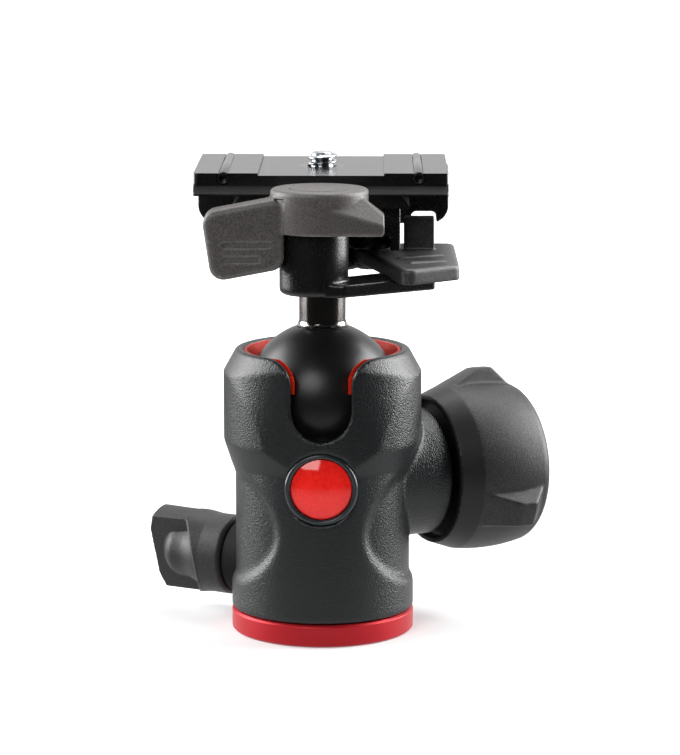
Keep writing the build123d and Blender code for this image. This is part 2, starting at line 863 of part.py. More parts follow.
with BuildPart() as pan_collar:
    with BuildSketch(across_plane(pan_angle, pan_height, pan_collar_start)):
        Circle(pan_collar_radius)
        Circle(pan_screw_radius + fit_gap, mode=Mode.SUBTRACT)
    extrude(amount=pan_collar_end - pan_collar_start)
save(pan_collar, "pan_collar")

with BuildPart() as pan_screw:
    with BuildSketch(across_plane(pan_angle, pan_height, pad_end + fit_gap * 2)):
        Circle(pan_screw_radius)
    extrude(amount=pan_screw_end - pad_end - fit_gap * 2)
save(pan_screw, "pan_screw")

wing_upright = Vector(0, 0, cos(radians(pan_wing_roll))) - pan_side.z_dir * sin(radians(pan_wing_roll))
wing_plane = Plane(origin=pan_side.origin, x_dir=pan_side.x_dir, z_dir=wing_upright)
with BuildPart() as pan_knob_grip:
    with BuildSketch(pan_side):
        with BuildLine():
            Polyline(
                (pan_knob_start, 0),
                (pan_knob_start, pan_knob_radius - pan_knob_round),
                (pan_knob_start + pan_knob_round, pan_knob_radius),
                (pan_scallop_start, pan_knob_radius),
                (pan_scallop_end, pan_wing_radius),
                (pan_knob_end - pan_end_reach, pan_wing_radius),
                (pan_knob_end, pan_wing_radius - pan_end_drop),
                (pan_knob_end, 0),
                close=True,
            )
        make_face()
    revolve(axis=pan_axis)
    with BuildSketch(wing_plane):
        with BuildLine():
            Polyline(
                (pan_scallop_start, pan_wing_radius + free_gap),
                (pan_scallop_end, pan_wing_half),
                (pan_knob_end + free_gap, pan_wing_half + pan_wing_flare),
                (pan_knob_end + free_gap, pan_wing_radius + free_gap),
                close=True,
            )
        make_face()
        mirror(about=Plane.XZ)
    extrude(amount=pan_wing_radius + free_gap, both=True, mode=Mode.SUBTRACT)
    with BuildSketch(pan_side):
        with BuildLine():
            nose = (pan_core_end - pan_core_radius, pan_core_radius)
            Polyline(nose, (pan_scallop_start, pan_core_radius), (pan_scallop_start, 0), (pan_core_end, 0))
            RadiusArc((pan_core_end, 0), nose, -pan_core_radius)
        make_face()
    revolve(axis=pan_axis)
    with BuildSketch(across_plane(pan_angle, pan_height, pan_knob_start)):
        Circle(pan_screw_radius)
    extrude(amount=pan_screw_end - pan_knob_start, mode=Mode.SUBTRACT)
save(pan_knob_grip, "pan_knob_grip")

# ================= badge =================
with BuildPart() as badge_bezel:
    with BuildSketch(across_plane(-90, badge_height, badge_floor)):
        Circle(bezel_radius)
        Circle(bezel_bore, mode=Mode.SUBTRACT)
    extrude(amount=bezel_front - badge_floor)
    chamfer(badge_bezel.edges().filter_by(GeomType.CIRCLE).group_by(Axis.Y)[0], bezel_chamfer)
save(badge_bezel, "badge_bezel")

badge_side = turned_plane(-90, badge_height)
with BuildPart() as badge:
    with BuildSketch(badge_side):
        with BuildLine():
            Polyline(
                (badge_edge + badge_dome, 0),
                (badge_floor, 0),
                (badge_floor, badge_radius),
                (badge_edge, badge_radius),
            )
            dome_radius = (badge_radius**2 + badge_dome**2) / (2 * badge_dome)
            CenterArc(
                (badge_edge + badge_dome - dome_radius, 0),
                dome_radius,
                0,
                degrees(asin(badge_radius / dome_radius)),
            )
        make_face()
    revolve(axis=Axis(badge_side.origin, badge_side.x_dir))
save(badge, "badge")

# ================= ball and neck =================
with BuildPart() as ball:
    with Locations((0, 0, ball_height)):
        Sphere(ball_radius)
save(ball, "ball")

foot_height = ball_height + sqrt(ball_radius**2 - neck_foot_radius**2)
with BuildPart() as neck:
    with BuildSketch(front):
        with BuildLine():
            Polyline(
                (0, ball_height),
                (neck_foot_radius, ball_height),
                (neck_foot_radius, foot_height + fit_gap * 4),
                (neck_radius, foot_height + neck_foot_height),
                (neck_radius, neck_top - base_edge),
                (neck_radius - base_edge, neck_top),
                (0, neck_top),
                close=True,
            )
        make_face()
    revolve(axis=Axis.Z)
    with Locations((0, 0, ball_height)):
        Sphere(seat_radius, mode=Mode.SUBTRACT)
    with BuildSketch(Plane.XY.offset(neck_top)):
        Circle(bolt_radius)
    extrude(amount=-bolt_reach, mode=Mode.SUBTRACT)
save(neck, "neck")

# ================= clamp =================
bolt_floor = neck_top + fit_gap + bolt_web
with BuildPart() as neck_bolt:
    with BuildSketch(Plane.XY.offset(neck_top - bolt_reach + free_gap)):
        Circle(bolt_radius)
    extrude(amount=bolt_floor + bolt_washer_height + fit_gap - neck_top + bolt_reach - free_gap)
    with BuildSketch(Plane.XY.offset(bolt_floor + bolt_washer_height + fit_gap)):
        Circle(bolt_head_radius)
    extrude(amount=bolt_head_height)
    with BuildSketch(Plane.XY.offset(bolt_floor + bolt_washer_height + fit_gap + bolt_head_height)):
        RegularPolygon(bolt_key_radius, 6)
    extrude(amount=-bolt_key_depth, mode=Mode.SUBTRACT)
save(neck_bolt, "neck_bolt")

with BuildPart() as bolt_washer:
    with BuildSketch(Plane.XY.offset(bolt_floor + fit_gap)):
        Circle(bolt_head_radius + free_gap / 2)
        Circle(bolt_radius, mode=Mode.SUBTRACT)
    extrude(amount=bolt_washer_height)
save(bolt_washer, "bolt_washer")

taper_foot = flange_bottom + taper_land
taper_slope = (half_width - half_top) / (taper_top - taper_foot)
jaw_slot = half_width + fit_gap
jaw_lip = half_top + fit_gap


def jaw_taper_height(half):
    """Height at which the back jaw's taper meets a half width, set off square to the plate's taper."""
    return taper_foot + (half_width - half) / taper_slope + fit_gap * sqrt(1 + 1 / taper_slope**2)


with BuildPart() as back_jaw:
    with BuildSketch(Plane.YZ):
        Polygon(
            (jaw_front, jaw_bottom),
            (jaw_back, jaw_bottom),
            (jaw_back, jaw_top),
            (jaw_lip, jaw_top),
            (jaw_lip, jaw_taper_height(jaw_lip)),
            (jaw_slot, jaw_taper_height(jaw_slot)),
            (jaw_slot, deck_top),
            (jaw_front, deck_top),
            align=None,
        )
    extrude(amount=jaw_half, both=True)
    fillet(back_jaw.edges().filter_by(Axis.Y).group_by(Axis.Z)[0], jaw_round)
    chamfer(back_jaw.edges().filter_by(Axis.X).group_by(Axis.Y)[-1], base_edge)
    # arch under the right end, above the safety catch
    with BuildSketch(front.offset(-jaw_back)):
        with Locations((arch_left, jaw_bottom - arch_height)):
            arch = Rectangle(arch_right - arch_left, arch_height * 2, align=Align.MIN)
        fillet(arch.vertices().group_by(Axis.Y)[-1], arch_round)
    extrude(amount=jaw_back, mode=Mode.SUBTRACT)

with BuildPart() as receiver:
    # column round the neck
    with BuildSketch(Plane.XY.offset(column_bottom)):
        Circle(column_radius)
    extrude(amount=deck_bottom - column_bottom)
    fillet(receiver.faces().sort_by(Axis.Z)[0].edges(), column_round)
    # boss under the lever
    with BuildSketch(Plane.XY.offset(front_boss_bottom)):
        with Locations(lever_axis):
            Circle(front_boss_radius)
    extrude(amount=front_boss_top - front_boss_bottom)
    fillet(receiver.faces().sort_by(Axis.Z)[0].edges(), front_boss_round)
    # bridge from the boss to the column, and the arm under the safety catch
    with BuildSketch(Plane.XY.offset(column_bottom)):
        with Locations(lever_axis):
            Rectangle(2 * bridge_half, -lever_axis[1], align=(Align.CENTER, Align.MIN))
    extrude(amount=front_boss_top - column_bottom)
    with BuildSketch(Plane.XY.offset(front_boss_bottom)):
        Polygon(*arm_outline, align=None)
    extrude(amount=arm_top - front_boss_bottom)
    # deck, back jaw and the side web
    with BuildSketch(Plane.XY.offset(deck_bottom)):
        with Locations((-deck_half, deck_front)):
            Rectangle(2 * deck_half, jaw_front - deck_front, align=Align.MIN)
    extrude(amount=deck_top - deck_bottom)
    with BuildSketch(Plane.XY.offset(web_bottom)):
        with Locations((web_left, deck_front)):
            Rectangle(web_right - web_left, web_back - deck_front, align=Align.MIN)
    extrude(amount=deck_bottom - web_bottom)
    add(back_jaw.part)
    # bosses for the catch's pivot and the trigger pin
    with BuildSketch(Plane.XY.offset(catch_top + fit_gap * 4)):
        with Locations(catch_pivot):
            Circle(catch_boss_radius)
    extrude(amount=deck_bottom - catch_top - fit_gap * 4)
    with BuildSketch(Plane.XY.offset(trigger_boss_bottom)):
        with Locations(trigger_place):
            Circle(trigger_boss_radius)
    extrude(amount=deck_bottom - trigger_boss_bottom)
    # neck bore, bolt hole and the bolt's pocket
    with BuildSketch(Plane.XY.offset(column_bottom)):
        Circle(neck_radius + fit_gap)
    extrude(amount=neck_top + fit_gap - column_bottom, mode=Mode.SUBTRACT)
    with BuildSketch(Plane.XY.offset(neck_top)):
        Circle(bolt_radius + fit_gap)
    extrude(amount=deck_top - neck_top, mode=Mode.SUBTRACT)
    with BuildSketch(Plane.XY.offset(bolt_floor)):
        Circle(pocket_radius)
    extrude(amount=deck_top - bolt_floor, mode=Mode.SUBTRACT)
    # holes for the pivots and the trigger pin
    with BuildSketch(Plane.XY.offset(lever_pivot_bottom)):
        with Locations(lever_axis):
            Circle(pivot_radius)
    extrude(amount=front_boss_top - lever_pivot_bottom, mode=Mode.SUBTRACT)
    with BuildSketch(Plane.XY.offset(catch_top)):
        with Locations(catch_pivot):
            Circle(catch_pivot_radius + fit_gap)
    extrude(amount=catch_pivot_top - catch_top, mode=Mode.SUBTRACT)
    with BuildSketch(Plane.XY.offset(catch_top)):
        with Locations(catch_pivot):
            Circle(catch_spring_radius + fit_gap)
    extrude(amount=fit_gap * 4 + catch_spring_height, mode=Mode.SUBTRACT)
    with BuildSketch(Plane.XY.offset(trigger_spring_bottom)):
        with Locations(trigger_place):
            Circle(trigger_radius + fit_gap)
    extrude(amount=deck_top - trigger_spring_bottom, mode=Mode.SUBTRACT)
save(receiver, "receiver")

with BuildPart() as lever_pivot:
    with BuildSketch(Plane.XY.offset(lever_pivot_bottom)):
        with Locations(lever_axis):
            Circle(pivot_radius)
    extrude(amount=pivot_head_bottom - lever_pivot_bottom)
    with BuildSketch(Plane.XY.offset(pivot_head_bottom)):
        with Locations(lever_axis):
            Circle(pivot_head_radius)
    extrude(amount=pivot_head_height)
save(lever_pivot, "lever_pivot")

with BuildPart() as catch_pin:
    with BuildSketch(Plane.XY.offset(catch_bottom - fit_gap)):
        with Locations(catch_pivot):
            Circle(catch_pivot_radius)
    extrude(amount=catch_pivot_top - catch_bottom + fit_gap)
    with BuildSketch(Plane.XY.offset(catch_bottom - fit_gap)):
        with Locations(catch_pivot):
            Circle(catch_head_radius)
    extrude(amount=-catch_head_height)
    chamfer(catch_pin.faces().sort_by(Axis.Z)[0].edges(), catch_head_height / 3)
save(catch_pin, "catch_pin")


def coil(place, bottom, height, bore, outside, turns):
    """Half section of a short coil spring, as touching turns with rounded-off outer edges."""
    pitch = height / turns
    points = [(bore, bottom + height), (bore, bottom)]
    for turn in range(turns):
        points.append((outside - pitch / 4, bottom + turn * pitch))
        points.append((outside, bottom + (turn + 0.5) * pitch))
    points.append((outside - pitch / 4, bottom + height))
    plane = Plane(origin=(place[0], place[1], 0), x_dir=(1, 0, 0), z_dir=(0, -1, 0))
    with BuildPart() as spring:
        with BuildSketch(plane):
            Polygon(*points, align=None)
        revolve(axis=Axis(plane.origin, (0, 0, 1)))
    return spring


catch_spring = coil(
    catch_pivot,
    catch_top + fit_gap * 4,
    catch_spring_height,
    catch_pivot_radius + fit_gap,
    catch_spring_radius,
    catch_spring_turns,
)
save(catch_spring, "catch_spring")

trigger_spring = coil(
    trigger_place,
    trigger_spring_bottom,
    trigger_spring_height,
    trigger_spring_bore,
    trigger_spring_radius,
    trigger_spring_turns,
)
save(trigger_spring, "trigger_spring")

with BuildPart() as trigger_pin:
    with BuildSketch(Plane.XY.offset(trigger_top)):
        with Locations(trigger_place):
            Circle(trigger_radius)
    extrude(amount=-trigger_length)
    chamfer(trigger_pin.faces().sort_by(Axis.Z)[-1].edges(), trigger_chamfer)
    with BuildSketch(Plane.XY.offset(trigger_top - trigger_length)):
        with Locations(trigger_place):
            Circle(trigger_spring_radius + fit_gap)
    extrude(amount=trigger_bore_depth, mode=Mode.SUBTRACT)
save(trigger_pin, "trigger_pin")

# ================= lever =================
cam_centre = (
    lever_axis[0] + cam_eccentricity * cos(radians(cam_angle)),
    lever_axis[1] + cam_eccentricity * sin(radians(cam_angle)),
)
cam_offset = cam_gap * sqrt(1 + taper_slope**2)


def cam_radius(height):
    """Radius of the cam that follows the plate's taper at a height with the lever closed."""
    return -cam_centre[1] - half_width + (height - taper_foot) * taper_slope - cam_offset


with BuildPart() as blade:
    with BuildSketch(front.offset(-blade_back)):
        blade_outline = Polygon(
            (blade_low_left, blade_low),
            (blade_right, blade_inner_low),
            (blade_right, blade_inner_high),
            (blade_left, blade_high),
            align=None,
        )
        fillet(blade_outline.vertices().sort_by(Axis.Y)[:3], blade_corner)
    extrude(amount=blade_back - blade_front)
    fillet(blade.faces().sort_by(Axis.Y)[0].edges(), blade_round)
    for rib_height, rib_right in zip(rib_heights, rib_rights):
        with BuildSketch(front.offset(-blade_front)):
            with Locations(((rib_left + rib_right) / 2, rib_height)):
                SlotOverall(rib_right - rib_left, rib_width)
        extrude(amount=-rib_depth, mode=Mode.SUBTRACT)
    with BuildSketch(Plane.XY.offset(lever_bottom)):
        with Locations(lever_axis):
            Circle(front_boss_radius + free_gap)
    extrude(amount=-lever_bottom, mode=Mode.SUBTRACT)

facet_low, facet_tip, facet_high = (Vector(*corner) for corner in tail_facet)
facet_plane = Plane(
    origin=facet_low,
    x_dir=facet_tip - facet_low,
    z_dir=(facet_tip - facet_low).cross(facet_high - facet_low),
)
with BuildPart() as tail:
    with BuildSketch(front.offset(-tail_back)):
        Polygon(
            (lever_axis[0], lever_bottom),
            (tail_right, lever_bottom),
            (tail_right, tail_tip_top),
            (tail_rim_right, tail_rim_top),
            (lever_axis[0], tail_rim_top),
            align=None,
        )
    extrude(amount=tail_back - tail_front)
    with BuildSketch(facet_plane):
        Circle(tail_right * 2)
    extrude(amount=tail_right, mode=Mode.SUBTRACT)
    fillet(tail.edges().filter_by(Axis.Y).sort_by(Axis.X)[-2:], tail_round)

hub_centre = (lever_axis[0] + hub_offset, lever_axis[1])
with BuildPart() as lever:
    with BuildSketch(Plane.XY.offset(lever_bottom)):
        with Locations(hub_centre):
            Circle(hub_radius)
    extrude(amount=lever_top - lever_bottom)
    fillet(lever.faces().sort_by(Axis.Z)[-1].edges(), hub_round)
    add(blade.part)
    add(tail.part)
    # room at the back for the plate's flange, and the groove that holds the cam
    with BuildSketch(Plane.XY.offset(hub_back_bottom)):
        for side, back_start in zip((Align.MIN, Align.MAX), hub_back_starts):
            with Locations((lever_axis[0], lever_axis[1] + back_start)):
                Rectangle(2 * hub_radius, 2 * hub_radius, align=(side, Align.MIN))
        with Locations(lever_axis):
            Circle(hub_back_radius, mode=Mode.SUBTRACT)
    extrude(amount=hub_lip_bottom - hub_back_bottom, mode=Mode.SUBTRACT)
    with BuildSketch(Plane.XY.offset(cam_bottom)):
        with Locations(cam_centre):
            Circle(cam_radius(cam_top) + fit_gap)
        with Locations(lever_axis):
            Circle(cam_bore, mode=Mode.SUBTRACT)
        with Locations((cam_left - fit_gap, lever_axis[1])):
            Rectangle(hub_radius, 4 * hub_radius, align=(Align.MAX, Align.CENTER), mode=Mode.SUBTRACT)
    extrude(amount=cam_top - cam_bottom, mode=Mode.SUBTRACT)
    # pivot bore, the pocket of its head and the seat of the disc
    with BuildSketch(Plane.XY.offset(blade_low)):
        with Locations(lever_axis):
            Circle(pivot_radius + fit_gap)
    extrude(amount=lever_top - blade_low, mode=Mode.SUBTRACT)
    with BuildSketch(Plane.XY.offset(pivot_head_bottom - fit_gap)):
        with Locations(lever_axis):
            Circle(pivot_head_radius + fit_gap)
    extrude(amount=lever_top - pivot_head_bottom, mode=Mode.SUBTRACT)
    with BuildSketch(Plane.XY.offset(lever_top - disc_height)):
        with Locations(hub_centre):
            Circle(disc_radius + fit_gap)
    extrude(amount=disc_height, mode=Mode.SUBTRACT)
save(lever, "lever")

with BuildPart() as lever_cam:
    with BuildSketch(Plane.XY.offset(cam_bottom)):
        with Locations(cam_centre):
            Circle(cam_radius(cam_bottom))
    with BuildSketch(Plane.XY.offset(cam_top)):
        with Locations(cam_centre):
            Circle(cam_radius(cam_top))
    loft()
    with BuildSketch(Plane.XY.offset(cam_bottom)):
        with Locations(lever_axis):
            Circle(cam_bore)
        with Locations((cam_left, lever_axis[1])):
            Rectangle(hub_radius, 4 * hub_radius, align=(Align.MAX, Align.CENTER))
    extrude(amount=cam_top - cam_bottom, mode=Mode.SUBTRACT)
save(lever_cam, "lever_cam")

with BuildPart() as lever_disc:
    with BuildSketch(Plane.XY.offset(lever_top - disc_height)):
        with Locations(hub_centre):
            Circle(disc_radius)
    extrude(amount=disc_height)
save(lever_disc, "lever_disc")

# ================= safety catch =================
with BuildPart() as safety_catch:
    with BuildSketch(Plane.XY.offset(catch_bottom)):
        tab = Polygon(*catch_outline, align=None)
        fillet(tab.vertices(), catch_corner)
        with Locations(catch_pivot):
            Circle(catch_lug_radius)
    extrude(amount=catch_top - catch_bottom)
    fillet(safety_catch.faces().sort_by(Axis.Z)[-1].edges(), catch_round)
    with BuildSketch(Plane.XY.offset(catch_top - catch_round)):
        with Locations((block_left, block_front)):
            Rectangle(block_right - block_left, block_back - block_front, align=Align.MIN)
    extrude(amount=block_top - catch_top + catch_round)
    for rib_start, rib_end in catch_ribs:
        rib_reach = Vector(*rib_end) - Vector(*rib_start)
        rib_turn = degrees(atan2(rib_reach.Y, rib_reach.X))
        with BuildSketch(Plane.XY.offset(catch_top - catch_rib_height)):
            with Locations(Vector(*rib_start) + rib_reach / 2):
                SlotOverall(rib_reach.length, catch_rib_width, rotation=rib_turn)
        extrude(amount=catch_rib_height * 2)
    with BuildSketch(Plane.XY.offset(catch_bottom)):
        with Locations(catch_pivot):
            Circle(catch_pivot_radius + fit_gap)
    extrude(amount=catch_top - catch_bottom, mode=Mode.SUBTRACT)
save(safety_catch, "safety_catch")

# ================= camera plate =================
screw_clearance = camera_screw_radius + fit_gap * 2
with BuildPart() as plate:
    with BuildSketch(Plane.YZ):
        with BuildLine():
            Polyline(
                (0, flange_bottom),
                (half_width, flange_bottom),
                (half_width, taper_foot),
                (half_top, taper_top),
                (half_top, plate_top),
                (0, plate_top),
            )
            mirror(about=Plane.YZ)
        make_face()
    extrude(amount=plate_half, both=True)
    fillet(plate.edges().filter_by(Axis.Z), plate_corner)
    with BuildSketch(front):
        with BuildLine():
            Polyline(
                (0, flange_bottom),
                (dovetail_waist, flange_bottom),
                (dovetail_waist, dovetail_waist_height),
                (dovetail_half, dovetail_edge_height),
                (dovetail_half, plate_bottom),
                (0, plate_bottom),
            )
            mirror(about=Plane.YZ)
        make_face()
    extrude(amount=dovetail_depth / 2, both=True)
    # lowered middle of the top face, cord grooves, screw hole and its pockets
    with BuildSketch(Plane.XY.offset(plate_top)):
        Rectangle(2 * centre_recess_half, plate_width)
    extrude(amount=-centre_recess, mode=Mode.SUBTRACT)
    with BuildSketch(front.offset(plate_width / 2)):
        with Locations((strip_place, strip_height), (-strip_place, strip_height)):
            Circle(strip_radius + fit_gap / 2)
            with Locations((0, strip_radius)):
                Rectangle(strip_mouth, 2 * strip_radius)
    extrude(amount=-plate_width, mode=Mode.SUBTRACT)
    with BuildSketch(Plane.XY.offset(plate_bottom)):
        Circle(camera_head_radius + free_gap)
    extrude(amount=camera_pocket_top - plate_bottom, mode=Mode.SUBTRACT)
    with BuildSketch(Plane.XY.offset(plate_bottom)):
        Circle(screw_clearance)
    extrude(amount=plate_top - plate_bottom, mode=Mode.SUBTRACT)
    with BuildSketch(Plane.XY.offset(plate_top - centre_recess)):
        Circle(camera_ring_radius)
    extrude(amount=-camera_ring_height, mode=Mode.SUBTRACT)
save(plate, "plate")

with BuildPart() as rubber_strips:
    with BuildSketch(front.offset(half_top)):
        with Locations((strip_place, strip_height), (-strip_place, strip_height)):
            Circle(strip_radius)
    extrude(amount=-plate_top_width)
save(rubber_strips, "rubber_strips")

with BuildPart() as screw_ring:
    with BuildSketch(Plane.XY.offset(plate_top - centre_recess)):
        Circle(camera_ring_radius)
        Circle(screw_clearance, mode=Mode.SUBTRACT)
    extrude(amount=-camera_ring_height)
save(screw_ring, "screw_ring")

head_bottom = plate_bottom + camera_head_gap
thread_start = plate_top - centre_recess + fit_gap
with BuildPart() as camera_screw:
    with BuildSketch(Plane.XY.offset(head_bottom)):
        Circle(camera_head_radius)
    extrude(amount=camera_head_height)
    with BuildSketch(Plane.XY.offset(head_bottom)):
        Circle(camera_shank_radius)
    extrude(amount=camera_screw_top - head_bottom)
    with BuildSketch(Plane.XY.offset(thread_start)):
        Circle(camera_screw_radius)
    extrude(amount=camera_screw_top - thread_start)
    chamfer(camera_screw.faces().sort_by(Axis.Z)[-1].edges(), base_edge)
    with BuildSketch(Plane.XY.offset(head_bottom)):
        Rectangle(2 * camera_head_radius, camera_slot_width)
    extrude(amount=camera_slot_depth, mode=Mode.SUBTRACT)
save(camera_screw, "camera_screw")
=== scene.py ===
import math

import bpy
from mathutils import Matrix, Vector


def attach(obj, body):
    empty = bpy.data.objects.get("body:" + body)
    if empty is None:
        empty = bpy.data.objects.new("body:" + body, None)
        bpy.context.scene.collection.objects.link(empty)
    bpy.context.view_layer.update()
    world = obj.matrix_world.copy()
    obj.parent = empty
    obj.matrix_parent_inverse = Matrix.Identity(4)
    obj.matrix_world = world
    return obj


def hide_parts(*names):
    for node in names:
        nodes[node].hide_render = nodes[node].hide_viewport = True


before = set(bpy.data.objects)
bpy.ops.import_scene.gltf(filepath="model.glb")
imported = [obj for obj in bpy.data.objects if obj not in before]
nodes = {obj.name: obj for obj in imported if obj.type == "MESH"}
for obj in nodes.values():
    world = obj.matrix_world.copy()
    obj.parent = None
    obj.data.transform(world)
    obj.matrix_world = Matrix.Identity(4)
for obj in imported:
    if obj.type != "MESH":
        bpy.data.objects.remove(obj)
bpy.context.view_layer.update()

scene = bpy.context.scene
MM = 0.001
RIGHT_ANGLE = math.radians(90)

# ---- places and sizes shared with the solids, in millimetres ----
ball_centre = Vector((0, 0, 51.5))
hub_centre = Vector((-0.1, -31.0, 0))
lock_height = 33.0
lock_angle = math.radians(27)
lock_line = Vector((math.cos(lock_angle), math.sin(lock_angle), 0))
knob_front, knob_grip_start, knob_recess_radius = 25.8, 31.0, 15.4
pan_height = 13.4
pan_angle = math.radians(150)
# the left scoop's outline as seen from the front, from its foot to its top, as (x, z)
scoop_outline = (
    (-23.0, 11.2), (-18.0, 13.0), (-14.0, 15.4), (-10.8, 18.7), (-9.6, 23.0), (-10.6, 28.2), (-13.4, 33.0),
    (-17.8, 37.4), (-23.0, 40.5),
)

# ---- how a solid's mesh is taken over, in millimetres and degrees ----
merge_reach = 0.002
flat_angle = 0.6
sharp_angle = 28.0
smooth_margin = 4.0


# ================= modelling helpers =================
def deselect():
    """Leave nothing selected and no mode open."""
    if bpy.context.object and bpy.context.object.mode != "OBJECT":
        bpy.ops.object.mode_set(mode="OBJECT")
    bpy.ops.object.select_all(action="DESELECT")


def take(piece):
    """Make a piece the only selected and active one."""
    deselect()
    piece.select_set(True)
    bpy.context.view_layer.objects.active = piece
    return piece


def put_modifier(piece, kind, **settings):
    """Add a modifier with these settings and apply it."""
    take(piece)
    modifier = piece.modifiers.new(kind.title(), kind)
    for setting, value in settings.items():
        setattr(modifier, setting, value)
    bpy.ops.object.modifier_apply(modifier=modifier.name)
    return piece


def start_edit():
    """Open edit mode on the active piece with everything selected."""
    bpy.ops.object.mode_set(mode="EDIT")
    bpy.ops.mesh.select_all(action="SELECT")


def end_edit():
    """Close edit mode."""
    bpy.ops.object.mode_set(mode="OBJECT")


def set_down(piece):
    """Bake a piece's place, turn and size into its mesh."""
    take(piece)
    bpy.ops.object.transform_apply(location=True, rotation=True, scale=True)
    return piece


def settle(piece, material, body, slot, *stands_for):
    """Bake a finished piece's place into its mesh, dress it and hang it on its body."""
    set_down(piece)
    piece.data.materials.clear()
    piece.data.materials.append(material)
    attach(piece, body)
    if stands_for:
        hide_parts(*stands_for)
    return piece


def solid_copy(node, name, whole_flats=False):
    """A copy of a solid's mesh with its loose triangles merged, and its flats made one face each if asked."""
    piece = bpy.data.objects.new(name, nodes[node].data.copy())
    scene.collection.objects.link(piece)
    take(piece)
    start_edit()
    bpy.ops.mesh.remove_doubles(threshold=merge_reach * MM)
    if whole_flats:
        bpy.ops.mesh.dissolve_limited(angle_limit=math.radians(flat_angle))
    end_edit()
    return piece


def cast_copy(node, name, cell, passes, *added):
    """A solid's shape with the soft edges of a casting, grown together with any added closed pieces.

    cell is the remesh's cell in millimetres and passes the number of smoothing passes after it.
    """
    piece = solid_copy(node, name)
    if added:
        join(name, piece, *added)
    put_modifier(piece, "REMESH", mode="VOXEL", voxel_size=cell * MM, use_smooth_shade=True)
    put_modifier(piece, "SMOOTH", factor=0.5, iterations=passes)
    return piece


def round_edges(piece, edge, steps=3, sharp=sharp_angle):
    """Break a piece's sharp edges by a round of a width in millimetres, and shade it smooth between the rest."""
    put_modifier(
        piece, "BEVEL", width=edge * MM, segments=steps, limit_method="ANGLE", angle_limit=math.radians(sharp),
    )
    take(piece)
    bpy.ops.object.shade_smooth_by_angle(angle=math.radians(sharp + smooth_margin))
    return piece


def machined_copy(node, name, edge):
    """A solid's shape with its sharp edges broken by a small round."""
    piece = round_edges(solid_copy(node, name, whole_flats=True), edge, steps=2)
    return put_modifier(piece, "WEIGHTED_NORMAL", keep_sharp=True, weight=80)


def soften(piece, chosen, passes):
    """Smooth the vertices of a piece that lie at chosen places, given in millimetres."""
    group = piece.vertex_groups.new(name="soft")
    near = [vertex.index for vertex in piece.data.vertices if chosen(vertex.co / MM)]
    group.add(near, 1.0, "REPLACE")
    put_modifier(piece, "SMOOTH", factor=0.5, iterations=passes, vertex_group="soft")
    piece.vertex_groups.clear()
    return piece


def second_finish(piece, material, chosen):
    """Give another material to the faces whose middle lies at chosen places, given in millimetres."""
    piece.data.materials.append(material)
    last = len(piece.data.materials) - 1
    for face in piece.data.polygons:
        if chosen(face.center / MM):
            face.material_index = last
    return piece


def turned(name, rings, closed=False, segments=96):
    """A lathe piece about Z: a circle drawn out ring by ring, each ring a (radius, height) in millimetres.

    An open piece is filled at its first and last ring, and a closed one is a hollow ring without ends.
    """
    deselect()
    radius, height = rings[0]
    bpy.ops.mesh.primitive_circle_add(
        vertices=segments, radius=radius * MM, fill_type="NOTHING" if closed else "NGON",
        location=(0, 0, height * MM),
    )
    piece = bpy.context.object
    piece.name = name
    start_edit()
    for next_radius, next_height in rings[1:] + (rings[:1] if closed else []):
        step = (0, 0, (next_height - height) * MM)
        bpy.ops.mesh.extrude_region_move(TRANSFORM_OT_translate={"value": step})
        growth = next_radius / radius
        bpy.ops.transform.resize(value=(growth, growth, 1), center_override=(0, 0, next_height * MM))
        radius, height = next_radius, next_height
    bpy.ops.mesh.select_all(action="SELECT")
    bpy.ops.mesh.remove_doubles(threshold=merge_reach / 2 * MM)
    bpy.ops.mesh.normals_make_consistent(inside=False)
    end_edit()
    return set_down(piece)


def join(name, *pieces):
    """Make several pieces one."""
    take(pieces[0])
    for piece in pieces[1:]:
        piece.select_set(True)
    bpy.ops.object.join()
    pieces[0].name = name
    return pieces[0]


def lay(piece, place, angle=0.0, lean=0.0):
    """Turn a piece by lean about Y, then by angle about Z, and carry it to a place in millimetres."""
    piece.matrix_world = (
        Matrix.Translation(Vector(place) * MM) @ Matrix.Rotation(angle, 4, "Z") @ Matrix.Rotation(lean, 4, "Y")
    )
    return set_down(piece)


# ================= material helpers =================
def new_group(name, inputs, outputs):
    """A shader group with float or vector sockets: inputs as (name, kind, default), outputs as (name, kind)."""
    group = bpy.data.node_groups.new(name, "ShaderNodeTree")
    for socket_name, kind, default in inputs:
        socket = group.interface.new_socket(socket_name, in_out="INPUT", socket_type=kind)
        if default is not None:
            socket.default_value = default
    for socket_name, kind in outputs:
        group.interface.new_socket(socket_name, in_out="OUTPUT", socket_type=kind)
    return group, group.nodes.new("NodeGroupInput"), group.nodes.new("NodeGroupOutput")


FLOAT, VECTOR = "NodeSocketFloat", "NodeSocketVector"


def feed(tree, value, socket):
    """Set a socket to a number, or link another socket to it."""
    if isinstance(value, (int, float)):
        socket.default_value = value
    else:
        tree.links.new(value, socket)


def maths(tree, operation, first, second=None):
    """A Math node whose inputs are sockets or numbers; returns its output."""
    node = tree.nodes.new("ShaderNodeMath")
    node.operation = operation
    feed(tree, first, node.inputs[0])
    if second is not None:
        feed(tree, second, node.inputs[1])
    return node.outputs[0]


def remap(tree, value, low, high, new_low, new_high):
    """A Map Range node; returns its output."""
    node = tree.nodes.new("ShaderNodeMapRange")
    sockets = ("Value", "From Min", "From Max", "To Min", "To Max")
    for socket, number in zip(sockets, (value, low, high, new_low, new_high)):
        feed(tree, number, node.inputs[socket])
    return node.outputs["Result"]


